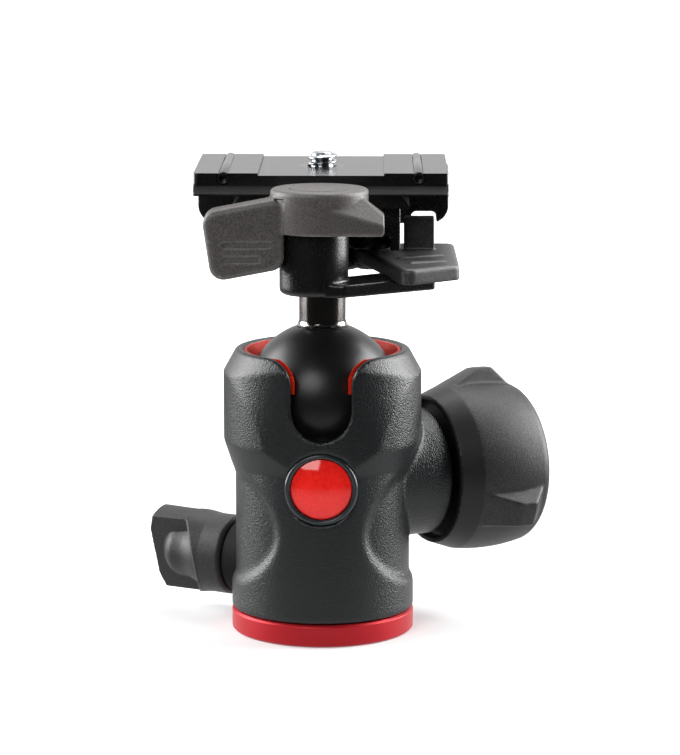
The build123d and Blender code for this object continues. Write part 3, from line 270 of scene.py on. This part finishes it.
def noise(tree, place, scale, detail=2.0, roughness=0.5):
    """A Noise Texture; returns its factor."""
    node = tree.nodes.new("ShaderNodeTexNoise")
    node.inputs["Detail"].default_value = detail
    node.inputs["Roughness"].default_value = roughness
    tree.links.new(place, node.inputs["Vector"])
    feed(tree, scale, node.inputs["Scale"])
    return node.outputs["Fac"]


def blend_values(tree, first, second, share):
    """Two values mixed by a share of the second."""
    kept = maths(tree, "MULTIPLY", first, maths(tree, "SUBTRACT", 1.0, share))
    return maths(tree, "ADD", kept, maths(tree, "MULTIPLY", second, share))


def pebble_grain():
    """Shallow pebbles of mixed size, as on a leather-grained coat; the pebbles' tops are painted a little paler
    and the hollows darker, as painted highlight and shade on the grain.
    """
    group, given, result = new_group(
        "pebble grain",
        [("Place", VECTOR, None), ("Pebbles per metre", FLOAT, 2300.0), ("Fleck", FLOAT, 0.5)],
        [("Height", FLOAT), ("Tone", FLOAT)],
    )
    roundness, swell_scale, swell_share, patches_per_metre = 0.45, 0.45, 0.4, 60.0
    place, density = given.outputs["Place"], given.outputs["Pebbles per metre"]
    cells = group.nodes.new("ShaderNodeTexVoronoi")
    cells.feature = "SMOOTH_F1"
    cells.inputs["Smoothness"].default_value = roundness
    group.links.new(place, cells.inputs["Vector"])
    group.links.new(density, cells.inputs["Scale"])
    pebbles = maths(group, "SUBTRACT", 1.0, cells.outputs["Distance"])
    swell = noise(group, place, maths(group, "MULTIPLY", density, swell_scale), 3.0)
    height = blend_values(group, pebbles, swell, swell_share)
    patches = noise(group, place, patches_per_metre, 3.0)
    # painted highlight on the pebbles' tops and painted shade in the hollows between them
    painted_lit_tops = remap(group, height, 0.45, 0.8, 0.0, 1.0)
    group.links.new(height, result.inputs["Height"])
    group.links.new(blend_values(group, patches, painted_lit_tops, given.outputs["Fleck"]), result.inputs["Tone"])
    return group


def fine_speckle():
    """Fine spark-eroded texture of a moulding, with slow patches of tone, and its raised specks painted paler as a
    painted highlight.
    """
    group, given, result = new_group(
        "fine speckle",
        [("Place", VECTOR, None), ("Specks per metre", FLOAT, 4000.0), ("Fleck", FLOAT, 0.3)],
        [("Height", FLOAT), ("Tone", FLOAT)],
    )
    patches_per_metre = 90.0
    place = given.outputs["Place"]
    specks = noise(group, place, given.outputs["Specks per metre"], 3.0, 0.65)
    patches = noise(group, place, patches_per_metre, 4.0)
    # painted highlight on the raised specks
    painted_lit_specks = remap(group, specks, 0.4, 0.62, 0.0, 1.0)
    group.links.new(specks, result.inputs["Height"])
    group.links.new(blend_values(group, patches, painted_lit_specks, given.outputs["Fleck"]), result.inputs["Tone"])
    return group


def turned_lines():
    """Fine rings left by a lathe round the Z axis of the given place."""
    group, given, result = new_group(
        "turned lines",
        [("Place", VECTOR, None), ("Lines per metre", FLOAT, 9000.0), ("Fleck", FLOAT, 0.4)],
        [("Height", FLOAT), ("Tone", FLOAT)],
    )
    parts = group.nodes.new("ShaderNodeSeparateXYZ")
    group.links.new(given.outputs["Place"], parts.inputs[0])
    across = maths(group, "MULTIPLY", parts.outputs["X"], parts.outputs["X"])
    along = maths(group, "MULTIPLY", parts.outputs["Y"], parts.outputs["Y"])
    radius = maths(group, "SQRT", maths(group, "ADD", across, along))
    drift = group.nodes.new("ShaderNodeTexNoise")
    drift.noise_dimensions = "1D"
    drift.inputs["Detail"].default_value = 3.0
    group.links.new(maths(group, "ADD", radius, parts.outputs["Z"]), drift.inputs["W"])
    group.links.new(given.outputs["Lines per metre"], drift.inputs["Scale"])
    lines = drift.outputs["Fac"]
    patches_per_metre = 120.0
    patches = noise(group, given.outputs["Place"], patches_per_metre)
    group.links.new(lines, result.inputs["Height"])
    group.links.new(blend_values(group, patches, lines, given.outputs["Fleck"]), result.inputs["Tone"])
    return group


def edge_wear_and_highlight():
    """A mask of edges that stand proud, broken up in patches: pale wear from handling, and a painted highlight
    along the edges.
    """
    group, given, result = new_group(
        "edge wear and painted highlight", [("Place", VECTOR, None), ("Reach", FLOAT, 0.04)], [("Mask", FLOAT)],
    )
    flat, edge_patches_per_metre, least_edge_mark = 0.5, 700.0, 0.25
    proud = group.nodes.new("ShaderNodeNewGeometry").outputs["Pointiness"]
    edge = remap(group, proud, flat, maths(group, "ADD", flat, given.outputs["Reach"]), 0.0, 1.0)
    patches = noise(group, given.outputs["Place"], edge_patches_per_metre, 4.0)
    edge_patches = remap(group, patches, 0.35, 0.6, least_edge_mark, 1.0)
    group.links.new(maths(group, "MULTIPLY", edge, edge_patches), result.inputs["Mask"])
    return group


GRAIN, SPECKLE, LATHE, EDGE_WEAR_AND_HIGHLIGHT = pebble_grain(), fine_speckle(), turned_lines(), edge_wear_and_highlight()


def finish_material(
    name, surface, density, colour, shade, roughness, depth, fleck=0.4, wear_and_highlight=0.0, **shader_values,
):
    """A Principled material whose tone, roughness and bump come from one of the surface groups.

    density is how many grains, specks or lines the surface has per metre. colour is the paler and shade the
    darker tone, roughness goes from shade to colour, depth is the relief in millimetres, fleck the share of the
    fine pattern in the tone (on grain and specks, painted highlight on the raised points), and wear_and_highlight
    how pale an edge is painted, as wear and as a painted highlight. What is left sets the shader's own sockets.
    """
    tone_range = (0.3, 0.7)
    material = bpy.data.materials.new(name)
    material.use_nodes = True
    tree = material.node_tree
    shader = tree.nodes["Principled BSDF"]
    place = tree.nodes.new("ShaderNodeTexCoord").outputs["Object"]
    texture = tree.nodes.new("ShaderNodeGroup")
    texture.node_tree = surface
    tree.links.new(place, texture.inputs["Place"])
    texture.inputs[1].default_value = density
    texture.inputs["Fleck"].default_value = fleck
    ramp = tree.nodes.new("ShaderNodeValToRGB")
    for element, position, tone in zip(ramp.color_ramp.elements, tone_range, (shade, colour)):
        element.position = position
        element.color = (*tone, 1)
    tree.links.new(texture.outputs["Tone"], ramp.inputs["Fac"])
    tone = ramp.outputs["Color"]
    # proud edges are paled both as wear and as a painted highlight
    if wear_and_highlight:
        edge_mark = tree.nodes.new("ShaderNodeGroup")
        edge_mark.node_tree = EDGE_WEAR_AND_HIGHLIGHT
        tree.links.new(place, edge_mark.inputs["Place"])
        mix = tree.nodes.new("ShaderNodeMix")
        mix.data_type = "RGBA"
        mix.inputs[7].default_value = (*(min(1.0, wear_and_highlight + value) for value in colour), 1)
        tree.links.new(edge_mark.outputs["Mask"], mix.inputs[0])
        tree.links.new(tone, mix.inputs[6])
        tone = mix.outputs[2]
    tree.links.new(tone, shader.inputs["Base Color"])
    dull = remap(tree, texture.outputs["Tone"], *tone_range, *roughness)
    tree.links.new(dull, shader.inputs["Roughness"])
    bump = tree.nodes.new("ShaderNodeBump")
    bump.inputs["Distance"].default_value = depth * MM
    tree.links.new(texture.outputs["Height"], bump.inputs["Height"])
    tree.links.new(bump.outputs["Normal"], shader.inputs["Normal"])
    for socket, value in shader_values.items():
        shader.inputs[socket.replace("_", " ")].default_value = value
    return material


# ================= materials =================
grained_coat = finish_material(
    "grained black coat", GRAIN, 3000.0, (0.007, 0.0095, 0.0105), (0.0025, 0.0035, 0.004), (0.38, 0.27), 0.12,
    fleck=0.7, Specular_IOR_Level=0.45,
)
red_anodised = finish_material(
    "red anodised aluminium", LATHE, 7000.0, (0.42, 0.009, 0.016), (0.35, 0.008, 0.014), (0.36, 0.42), 0.004,
    fleck=0.8, Metallic=0.4, Specular_IOR_Level=0.3,
)
collar_red = finish_material(
    "red collar plastic", SPECKLE, 3500.0, (0.55, 0.02, 0.005), (0.45, 0.014, 0.004), (0.4, 0.5), 0.012,
    Specular_IOR_Level=0.15,
)
badge_red = finish_material(
    "red badge resin", SPECKLE, 1500.0, (0.76, 0.02, 0.012), (0.7, 0.012, 0.01), (0.08, 0.12), 0.001,
)
dark_ring = finish_material(
    "dark badge ring", LATHE, 9000.0, (0.02, 0.028, 0.031), (0.01, 0.015, 0.017), (0.2, 0.28), 0.003,
)
ball_coat = finish_material(
    "black ball coat", SPECKLE, 6000.0, (0.007, 0.007, 0.0075), (0.003, 0.003, 0.003), (0.3, 0.38), 0.008,
    Specular_IOR_Level=0.35,
)
dark_steel = finish_material(
    "dark polished steel", LATHE, 9000.0, (0.32, 0.3, 0.29), (0.26, 0.245, 0.235), (0.12, 0.18), 0.002,
    Metallic=1.0,
)
plain_steel = finish_material(
    "machined steel", LATHE, 9000.0, (0.52, 0.52, 0.53), (0.4, 0.4, 0.41), (0.26, 0.36), 0.003, Metallic=1.0,
)
bright_steel = finish_material(
    "bright plated steel", SPECKLE, 3000.0, (0.5, 0.52, 0.54), (0.4, 0.42, 0.44), (0.14, 0.22), 0.003,
    Metallic=1.0,
)
bronze = finish_material(
    "bearing bronze", LATHE, 9000.0, (0.55, 0.36, 0.14), (0.44, 0.28, 0.1), (0.28, 0.4), 0.003, Metallic=1.0,
)
bearing_plastic = finish_material(
    "white bearing plastic", SPECKLE, 3000.0, (0.6, 0.58, 0.52), (0.5, 0.48, 0.42), (0.4, 0.5), 0.006,
)
clamp_coat = finish_material(
    "smooth black clamp coat", GRAIN, 1900.0, (0.007, 0.007, 0.008), (0.003, 0.003, 0.0035), (0.3, 0.24), 0.03,
)
knob_plastic = finish_material(
    "grained black plastic", SPECKLE, 3600.0, (0.02, 0.0195, 0.021), (0.006, 0.006, 0.0065), (0.46, 0.36), 0.07,
    fleck=0.7, Specular_IOR_Level=0.35,
)
smooth_plastic = finish_material(
    "smooth black plastic", SPECKLE, 3000.0, (0.009, 0.009, 0.0095), (0.006, 0.006, 0.006), (0.4, 0.46), 0.008,
    Specular_IOR_Level=0.3,
)
catch_plastic = finish_material(
    "grained charcoal plastic", SPECKLE, 3600.0, (0.04, 0.0385, 0.039), (0.013, 0.0125, 0.013), (0.44, 0.34), 0.05,
    fleck=0.8,
)
# the pan collar's own matt black, also laid on the lock knob's recess as painted shade
matt_black_and_painted_shade = finish_material(
    "matt black moulding and painted recess shade", SPECKLE, 3000.0, (0.004, 0.004, 0.004), (0.002, 0.002, 0.002), (0.6, 0.7), 0.01,
    Specular_IOR_Level=0.15,
)
lever_plastic = finish_material(
    "warm grey plastic", SPECKLE, 3600.0, (0.075, 0.067, 0.063), (0.034, 0.03, 0.028), (0.5, 0.4), 0.05,
    fleck=0.7, wear_and_highlight=0.04,
)
disc_plastic = finish_material(
    "warm grey disc plastic", SPECKLE, 3600.0, (0.075, 0.067, 0.063), (0.034, 0.03, 0.028), (0.5, 0.4), 0.05,
    fleck=0.9,
)
plate_coat = finish_material(
    "black anodised plate", SPECKLE, 4400.0, (0.006, 0.0058, 0.0058), (0.003, 0.0029, 0.0029), (0.22, 0.27), 0.012,
    fleck=0.8,
)
cord_rubber = finish_material(
    "black cord rubber", SPECKLE, 2600.0, (0.01, 0.01, 0.01), (0.005, 0.005, 0.005), (0.18, 0.26), 0.012,
)

plain_nodes = {
    red_anodised: ("base_disc",),
    plain_steel: (
        "pan_spindle", "base_screws", "retaining_ring", "floor_plate", "cup_springs", "lock_wedge", "lock_screw",
        "pan_screw", "neck_bolt", "bolt_washer", "lever_pivot", "catch_pin", "catch_spring", "trigger_spring",
        "trigger_pin", "lever_cam",
    ),
    bronze: ("pan_bush", "lock_bush", "pan_insert"),
    bearing_plastic: ("thrust_washer", "pressure_cup", "lock_washer", "pan_brake_pad"),
    collar_red: ("ball_collar",),
    dark_ring: ("badge_bezel",),
    badge_red: ("badge",),
    ball_coat: ("ball",),
    dark_steel: ("neck",),
    smooth_plastic: ("lock_knob_core", "lock_knob_cap"),
    matt_black_and_painted_shade: ("pan_collar",),
    lever_plastic: ("lever",),
    disc_plastic: ("lever_disc",),
    clamp_coat: ("receiver",),
    knob_plastic: ("lock_knob_grip", "pan_knob_grip"),
    catch_plastic: ("safety_catch",),
    grained_coat: ("housing",),
    plate_coat: ("plate",),
    cord_rubber: ("rubber_strips", "screw_ring"),
    bright_steel: ("camera_screw",),
}
for material, names in plain_nodes.items():
    for node_name in names:
        mesh = nodes[node_name].data
        mesh.materials.clear()
        mesh.materials.append(material)

# ================= castings and mouldings =================
scoop_lip_width = 1.5
scoop_lip_passes = 30


def on_scoop_lip(place):
    """Whether a place on the housing lies near the lip of either scoop."""
    for (low_x, low_z), (high_x, high_z) in zip(scoop_outline, scoop_outline[1:]):
        run = Vector((high_x - low_x, high_z - low_z))
        reach = Vector((-abs(place.x) - low_x, place.z - low_z))
        share = min(1.0, max(0.0, reach.dot(run) / run.length_squared))
        if (reach - run * share).length < scoop_lip_width:
            return True
    return False


housing_casting = soften(
    cast_copy("housing", "housing_casting", 0.46, 3), on_scoop_lip, scoop_lip_passes,
)
settle(housing_casting, grained_coat, "housing", "housing_black", "housing")


def make_hub_wall():
    """The thin wall that closes the hub's side over the cam: a ring cut down to the part left of the pivot."""
    inner, outer, bottom, top, right_end = 9.5, 10.2, 97.2, 100.6, -6.0
    wall = turned("hub_wall", [(inner, bottom), (outer, bottom), (outer, top), (inner, top)], closed=True)
    take(wall)
    start_edit()
    bpy.ops.mesh.bisect(plane_co=(right_end * MM, 0, 0), plane_no=(1, 0, 0), use_fill=True, clear_outer=True)
    end_edit()
    return lay(wall, hub_centre)


lever_moulding = cast_copy("lever", "lever_moulding", 0.25, 5, make_hub_wall())
settle(lever_moulding, lever_plastic, "lever", "lever_grey", "lever")
catch_moulding = cast_copy("safety_catch", "catch_moulding", 0.25, 3)
settle(catch_moulding, catch_plastic, "catch", "catch_black", "safety_catch")
lock_knob = cast_copy("lock_knob_grip", "lock_knob_moulding", 0.33, 4)
settle(lock_knob, knob_plastic, "lock_knob", "knob_black", "lock_knob_grip")
seam_margin, rim_depth, recess_depth = 0.2, 0.4, 4.0


def before_grip(place):
    """Whether a place on the lock knob lies on the smooth cone in front of the grained grip."""
    return place.dot(lock_line) < knob_grip_start - seam_margin


def in_painted_recess_shade(place):
    """Whether a place on the lock knob lies in the recess round the boss or on the rim about it, where shade is
    painted in matt black.
    """
    along = place.dot(lock_line)
    across = (place - Vector((0, 0, lock_height)) - lock_line * along).length
    in_well = across < knob_recess_radius + seam_margin and along < knob_front + recess_depth
    return in_well or along < knob_front + rim_depth


second_finish(lock_knob, smooth_plastic, before_grip)
# the recess and the rim about it are painted matt black as painted shade, darker than the knob's own plastic
second_finish(lock_knob, matt_black_and_painted_shade, in_painted_recess_shade)


def make_pan_nose():
    """The pan knob's middle: the barrel eases down to a slimmer core with a rounded end between the wings."""
    barrel, core, taper_start, taper_length, end_start, end_length = 8.75, 6.4, 26.6, 7.9, 35.6, 4.8
    chamfer, chamfer_length, steps = 0.6, 0.4, 9
    rings = [(barrel - chamfer, taper_start - chamfer_length)]
    for step in range(steps):
        share = step / (steps - 1)
        ease = share * share * (3 - 2 * share)
        rings.append((barrel + (core - barrel) * ease, taper_start + taper_length * share))
    for step in range(1, steps):
        turn = RIGHT_ANGLE * step / steps
        rings.append((core * math.cos(turn), end_start + end_length * math.sin(turn)))
    return lay(turned("pan_nose", rings), (0, 0, pan_height), pan_angle, RIGHT_ANGLE)


pan_knob = cast_copy("pan_knob_grip", "pan_knob_moulding", 0.22, 5, make_pan_nose())
settle(pan_knob, knob_plastic, "pan_knob", "knob_black", "pan_knob_grip")
clamp_casting = cast_copy("receiver", "clamp_casting", 0.33, 3)
settle(clamp_casting, clamp_coat, "clamp", "clamp_black", "receiver")

# ================= machined and turned pieces =================
# node, the piece made from it, the width of its broken edges in millimetres, material, body and slot
machined_pieces = (
    ("plate", "plate_body", 0.18, plate_coat, "plate", "plate_black"),
    ("base_disc", "base_ring", 0.12, red_anodised, "base", "red_disc"),
    ("badge_bezel", "badge_ring", 0.15, dark_ring, "housing", "badge_rim"),
    ("ball_collar", "collar", 0.15, collar_red, "housing", "collar_red"),
    ("pan_collar", "pan_stand_off", 0.25, matt_black_and_painted_shade, "housing", "collar_dark"),
    ("neck", "neck_stem", 0.15, dark_steel, "neck", "neck_steel"),
)
for node_name, piece_name, edge_width, material, body, slot in machined_pieces:
    settle(machined_copy(node_name, piece_name, edge_width), material, body, slot, node_name)


def make_ball():
    """The ball: a sphere with a flat seat cut for the neck, and the seat's edge rounded."""
    radius, seat_height, seat_edge, seat_sharp = 16.75, 15.8, 0.2, 15.0
    deselect()
    bpy.ops.mesh.primitive_uv_sphere_add(
        segments=96, ring_count=64, radius=radius * MM, location=ball_centre * MM,
    )
    ball = bpy.context.object
    ball.name = "ball_sphere"
    start_edit()
    seat = (ball_centre + Vector((0, 0, seat_height))) * MM
    bpy.ops.mesh.bisect(plane_co=seat, plane_no=(0, 0, 1), use_fill=True, clear_outer=True)
    end_edit()
    return round_edges(ball, seat_edge, 2, seat_sharp)


settle(make_ball(), ball_coat, "ball", "ball_black", "ball")


def make_badge():
    """The badge: a thick disc whose face is domed by a ring of small steps, laid against the front."""
    reach, rim, dome, steps = 6.5, 0.5, 1.4, 9
    place = Vector((0, -18.5, 34.7))
    radius = (reach * reach + dome * dome) / (2 * dome)
    rings = [(reach, 0.0), (reach, rim)]
    for index in range(1, steps + 1):
        # the last ring stops half a step short of the middle
        across = reach * (1 - index / (steps + 0.5))
        rings.append((across, rim + math.sqrt(radius * radius - across * across) - (radius - dome)))
    badge = turned("badge_dome", rings, segments=72)
    take(badge)
    bpy.ops.object.shade_smooth_by_angle(angle=math.radians(sharp_angle + smooth_margin))
    badge.matrix_world = Matrix.Translation(place * MM) @ Matrix.Rotation(RIGHT_ANGLE, 4, "X")
    return set_down(badge)


settle(make_badge(), badge_red, "housing", "badge_red", "badge")


def make_camera_screw():
    """The captive screw: a flat head under the plate, a plain shank and a wound thread with a chamfered top."""
    outline = [
        (7.1, 95.55), (7.5, 95.9), (7.5, 97.15), (2.6, 97.15), (2.6, 102.35), (2.35, 102.6), (2.35, 104.9),
        (1.9, 105.4),
    ]
    blank = turned("screw_blank", outline, segments=64)
    pitch, root, crest, start, turns = 1.27, 2.3, 3.17, 102.1, 2
    root_share, crest_share, steps_per_turn = 0.86, 0.2, 48
    edge, sharp = 0.06, 24.0
    middle = (root + crest) / 2 * MM
    # the thread's section starts as a plane and its outer side is drawn in to the crest
    deselect()
    bpy.ops.mesh.primitive_plane_add(size=1.0, location=(middle, 0, start * MM), rotation=(RIGHT_ANGLE, 0, 0))
    thread = bpy.context.object
    bpy.ops.transform.resize(value=((crest - root) * MM, 1, pitch * root_share * MM))
    set_down(thread)
    start_edit()
    bpy.ops.mesh.select_all(action="DESELECT")
    end_edit()
    for vertex in thread.data.vertices:
        vertex.select = vertex.co.x > middle
    bpy.ops.object.mode_set(mode="EDIT")
    bpy.ops.transform.resize(value=(1, 1, crest_share))
    bpy.ops.mesh.select_all(action="SELECT")
    bpy.ops.mesh.delete(type="ONLY_FACE")
    end_edit()
    put_modifier(
        thread, "SCREW", axis="Z", angle=4 * RIGHT_ANGLE, screw_offset=pitch * MM, iterations=turns,
        steps=steps_per_turn, render_steps=steps_per_turn, use_normal_calculate=True,
    )
    start_edit()
    bpy.ops.mesh.fill_holes(sides=6)
    bpy.ops.mesh.normals_make_consistent(inside=False)
    end_edit()
    return round_edges(join("camera_screw_steel", blank, thread), edge, 2, sharp)


settle(make_camera_screw(), bright_steel, "camera_screw", "bright_steel", "camera_screw")


def make_cord(side):
    """One of the plate's rubber cords: a tube laid along its groove, hollow at both ends."""
    radius, length, off_middle, height = 1.35, 38.7, 20.6, 101.75
    wall, hollow_depth, edge, sharp = 0.55, 1.5, 0.2, 40.0
    deselect()
    bpy.ops.mesh.primitive_cylinder_add(
        vertices=40, radius=radius * MM, depth=length * MM, location=(side * off_middle * MM, 0, height * MM),
        rotation=(RIGHT_ANGLE, 0, 0),
    )
    cord = set_down(bpy.context.object)
    for end in (-1, 1):
        start_edit()
        bpy.ops.mesh.select_all(action="DESELECT")
        end_edit()
        for face in cord.data.polygons:
            face.select = face.normal.y * end > 0.9
        bpy.ops.object.mode_set(mode="EDIT")
        bpy.ops.mesh.inset(thickness=wall * MM)
        bpy.ops.mesh.extrude_region_move(TRANSFORM_OT_translate={"value": (0, -end * hollow_depth * MM, 0)})
        end_edit()
    return round_edges(cord, edge, 3, sharp)


plate_cords = join("plate_cords", make_cord(-1), make_cord(1))
settle(plate_cords, cord_rubber, "plate", "cord_rubber", "rubber_strips")

# ================= floor, light and camera =================
deselect()
floor_size, floor_drop = 6.0, 0.00005
bpy.ops.mesh.primitive_plane_add(size=floor_size, location=(0, 0, -floor_drop))
floor = bpy.context.object
floor.name = "floor"


def lit_floor():
    """A pale floor that takes the object's shadow and glows up to white away from it.

    The near and far distances, in metres, are where a light level starts and where it ends.
    """
    glow_near, glow_far, glow_low, glow_high = 0.08, 0.5, 0.22, 1.0
    beside_near, beside_far, beside_high, beside_low = 0.08, 0.26, 0.9, 0.015
    behind_near, behind_far, behind_low, behind_high = 0.05, 0.4, 0.0, 0.35
    material = bpy.data.materials.new("pale floor")
    material.use_nodes = True
    tree = material.node_tree
    shader = tree.nodes["Principled BSDF"]
    shader.inputs["Base Color"].default_value = (0.66, 0.66, 0.665, 1)
    shader.inputs["Roughness"].default_value = 0.7
    shader.inputs["Specular IOR Level"].default_value = 0.1
    place = tree.nodes.new("ShaderNodeTexCoord").outputs["Object"]
    reach = tree.nodes.new("ShaderNodeVectorMath")
    reach.operation = "LENGTH"
    tree.links.new(place, reach.inputs[0])
    rays = tree.nodes.new("ShaderNodeLightPath")
    seen = maths(tree, "MAXIMUM", rays.outputs["Is Camera Ray"], rays.outputs["Is Glossy Ray"])
    seen = maths(tree, "MAXIMUM", seen, rays.outputs["Is Transmission Ray"])
    glow = tree.nodes.new("ShaderNodeEmission")
    away = remap(tree, reach.outputs["Value"], glow_near, glow_far, glow_low, glow_high)
    tree.links.new(maths(tree, "MULTIPLY", seen, away), glow.inputs["Strength"])
    both = tree.nodes.new("ShaderNodeAddShader")
    tree.links.new(shader.outputs[0], both.inputs[0])
    tree.links.new(glow.outputs[0], both.inputs[1])
    # reflections show the floor beside the object, a dark room further in front and a dim floor behind
    parts = tree.nodes.new("ShaderNodeSeparateXYZ")
    tree.links.new(place, parts.inputs[0])
    dark = tree.nodes.new("ShaderNodeEmission")
    behind = remap(tree, parts.outputs["Y"], behind_near, behind_far, behind_low, behind_high)
    beside = remap(tree, reach.outputs["Value"], beside_near, beside_far, beside_high, beside_low)
    tree.links.new(maths(tree, "ADD", beside, behind), dark.inputs["Strength"])
    dim = tree.nodes.new("ShaderNodeMixShader")
    tree.links.new(rays.outputs["Is Glossy Ray"], dim.inputs[0])
    tree.links.new(both.outputs[0], dim.inputs[1])
    tree.links.new(dark.outputs[0], dim.inputs[2])
    tree.links.new(dim.outputs[0], tree.nodes["Material Output"].inputs["Surface"])
    return material


floor.data.materials.append(lit_floor())

def studio_world():
    """A dim white surround that the camera sees as white, and reflections as a dark room before a backdrop."""
    ambient, room_level, backdrop_level, room_end, backdrop_start = 0.08, 0.01, 1.0, -0.4, 0.3
    world = bpy.data.worlds.new("studio")
    world.use_nodes = True
    tree = world.node_tree
    background = tree.nodes["Background"]
    background.inputs["Color"].default_value = (1, 1, 1, 1)
    direction = tree.nodes.new("ShaderNodeSeparateXYZ")
    tree.links.new(tree.nodes.new("ShaderNodeTexCoord").outputs["Generated"], direction.inputs[0])
    rays = tree.nodes.new("ShaderNodeLightPath")
    seen = rays.outputs["Is Camera Ray"]
    mirrored = maths(tree, "MAXIMUM", rays.outputs["Is Glossy Ray"], rays.outputs["Is Transmission Ray"])
    backdrop = remap(tree, direction.outputs["Y"], room_end, backdrop_start, room_level, backdrop_level)
    level = maths(tree, "ADD", ambient, maths(tree, "MULTIPLY", seen, 1.0 - ambient))
    gain = maths(tree, "MULTIPLY", mirrored, maths(tree, "SUBTRACT", backdrop, ambient))
    tree.links.new(maths(tree, "ADD", level, gain), background.inputs["Strength"])
    return world


scene.world = studio_world()


def soft_light(name, place, aim, width, height, power):
    """A rectangular soft box that faces a point; places and sizes in metres, power in watts."""
    light = bpy.data.lights.new(name, "AREA")
    light.shape = "RECTANGLE"
    light.size = width
    light.size_y = height
    light.energy = power
    holder = bpy.data.objects.new(name, light)
    scene.collection.objects.link(holder)
    holder.location = place
    holder.rotation_mode = "QUATERNION"
    holder.rotation_quaternion = (Vector(aim) - Vector(place)).to_track_quat("-Z", "Y")
    return holder


object_middle = (0, 0, 0.055)
soft_light("overhead soft box", (0.1, 0.25, 0.7), object_middle, 0.6, 0.35, 3.6)
soft_light("left soft box", (-0.58, 0.14, 0.25), object_middle, 0.5, 0.6, 9.0)
soft_light("right soft box", (0.58, 0.17, 0.28), object_middle, 0.5, 0.6, 11.0)
soft_light("front fill", (-0.35, -1.0, 0.75), object_middle, 0.6, 0.6, 7.0)

camera_data = bpy.data.cameras.new("camera")
camera = bpy.data.objects.new("camera", camera_data)
scene.collection.objects.link(camera)
# ten degrees below level, and a hair to the left
camera.location = (0.0106, -0.6969, 0.17865)
camera.rotation_euler = (math.radians(80.0), 0, 0.0097)
camera_data.sensor_width = 36.0
camera_data.lens = 154.2
camera_data.clip_start = 0.01
camera_data.clip_end = 20.0
scene.camera = camera

scene.view_settings.view_transform = "Standard"
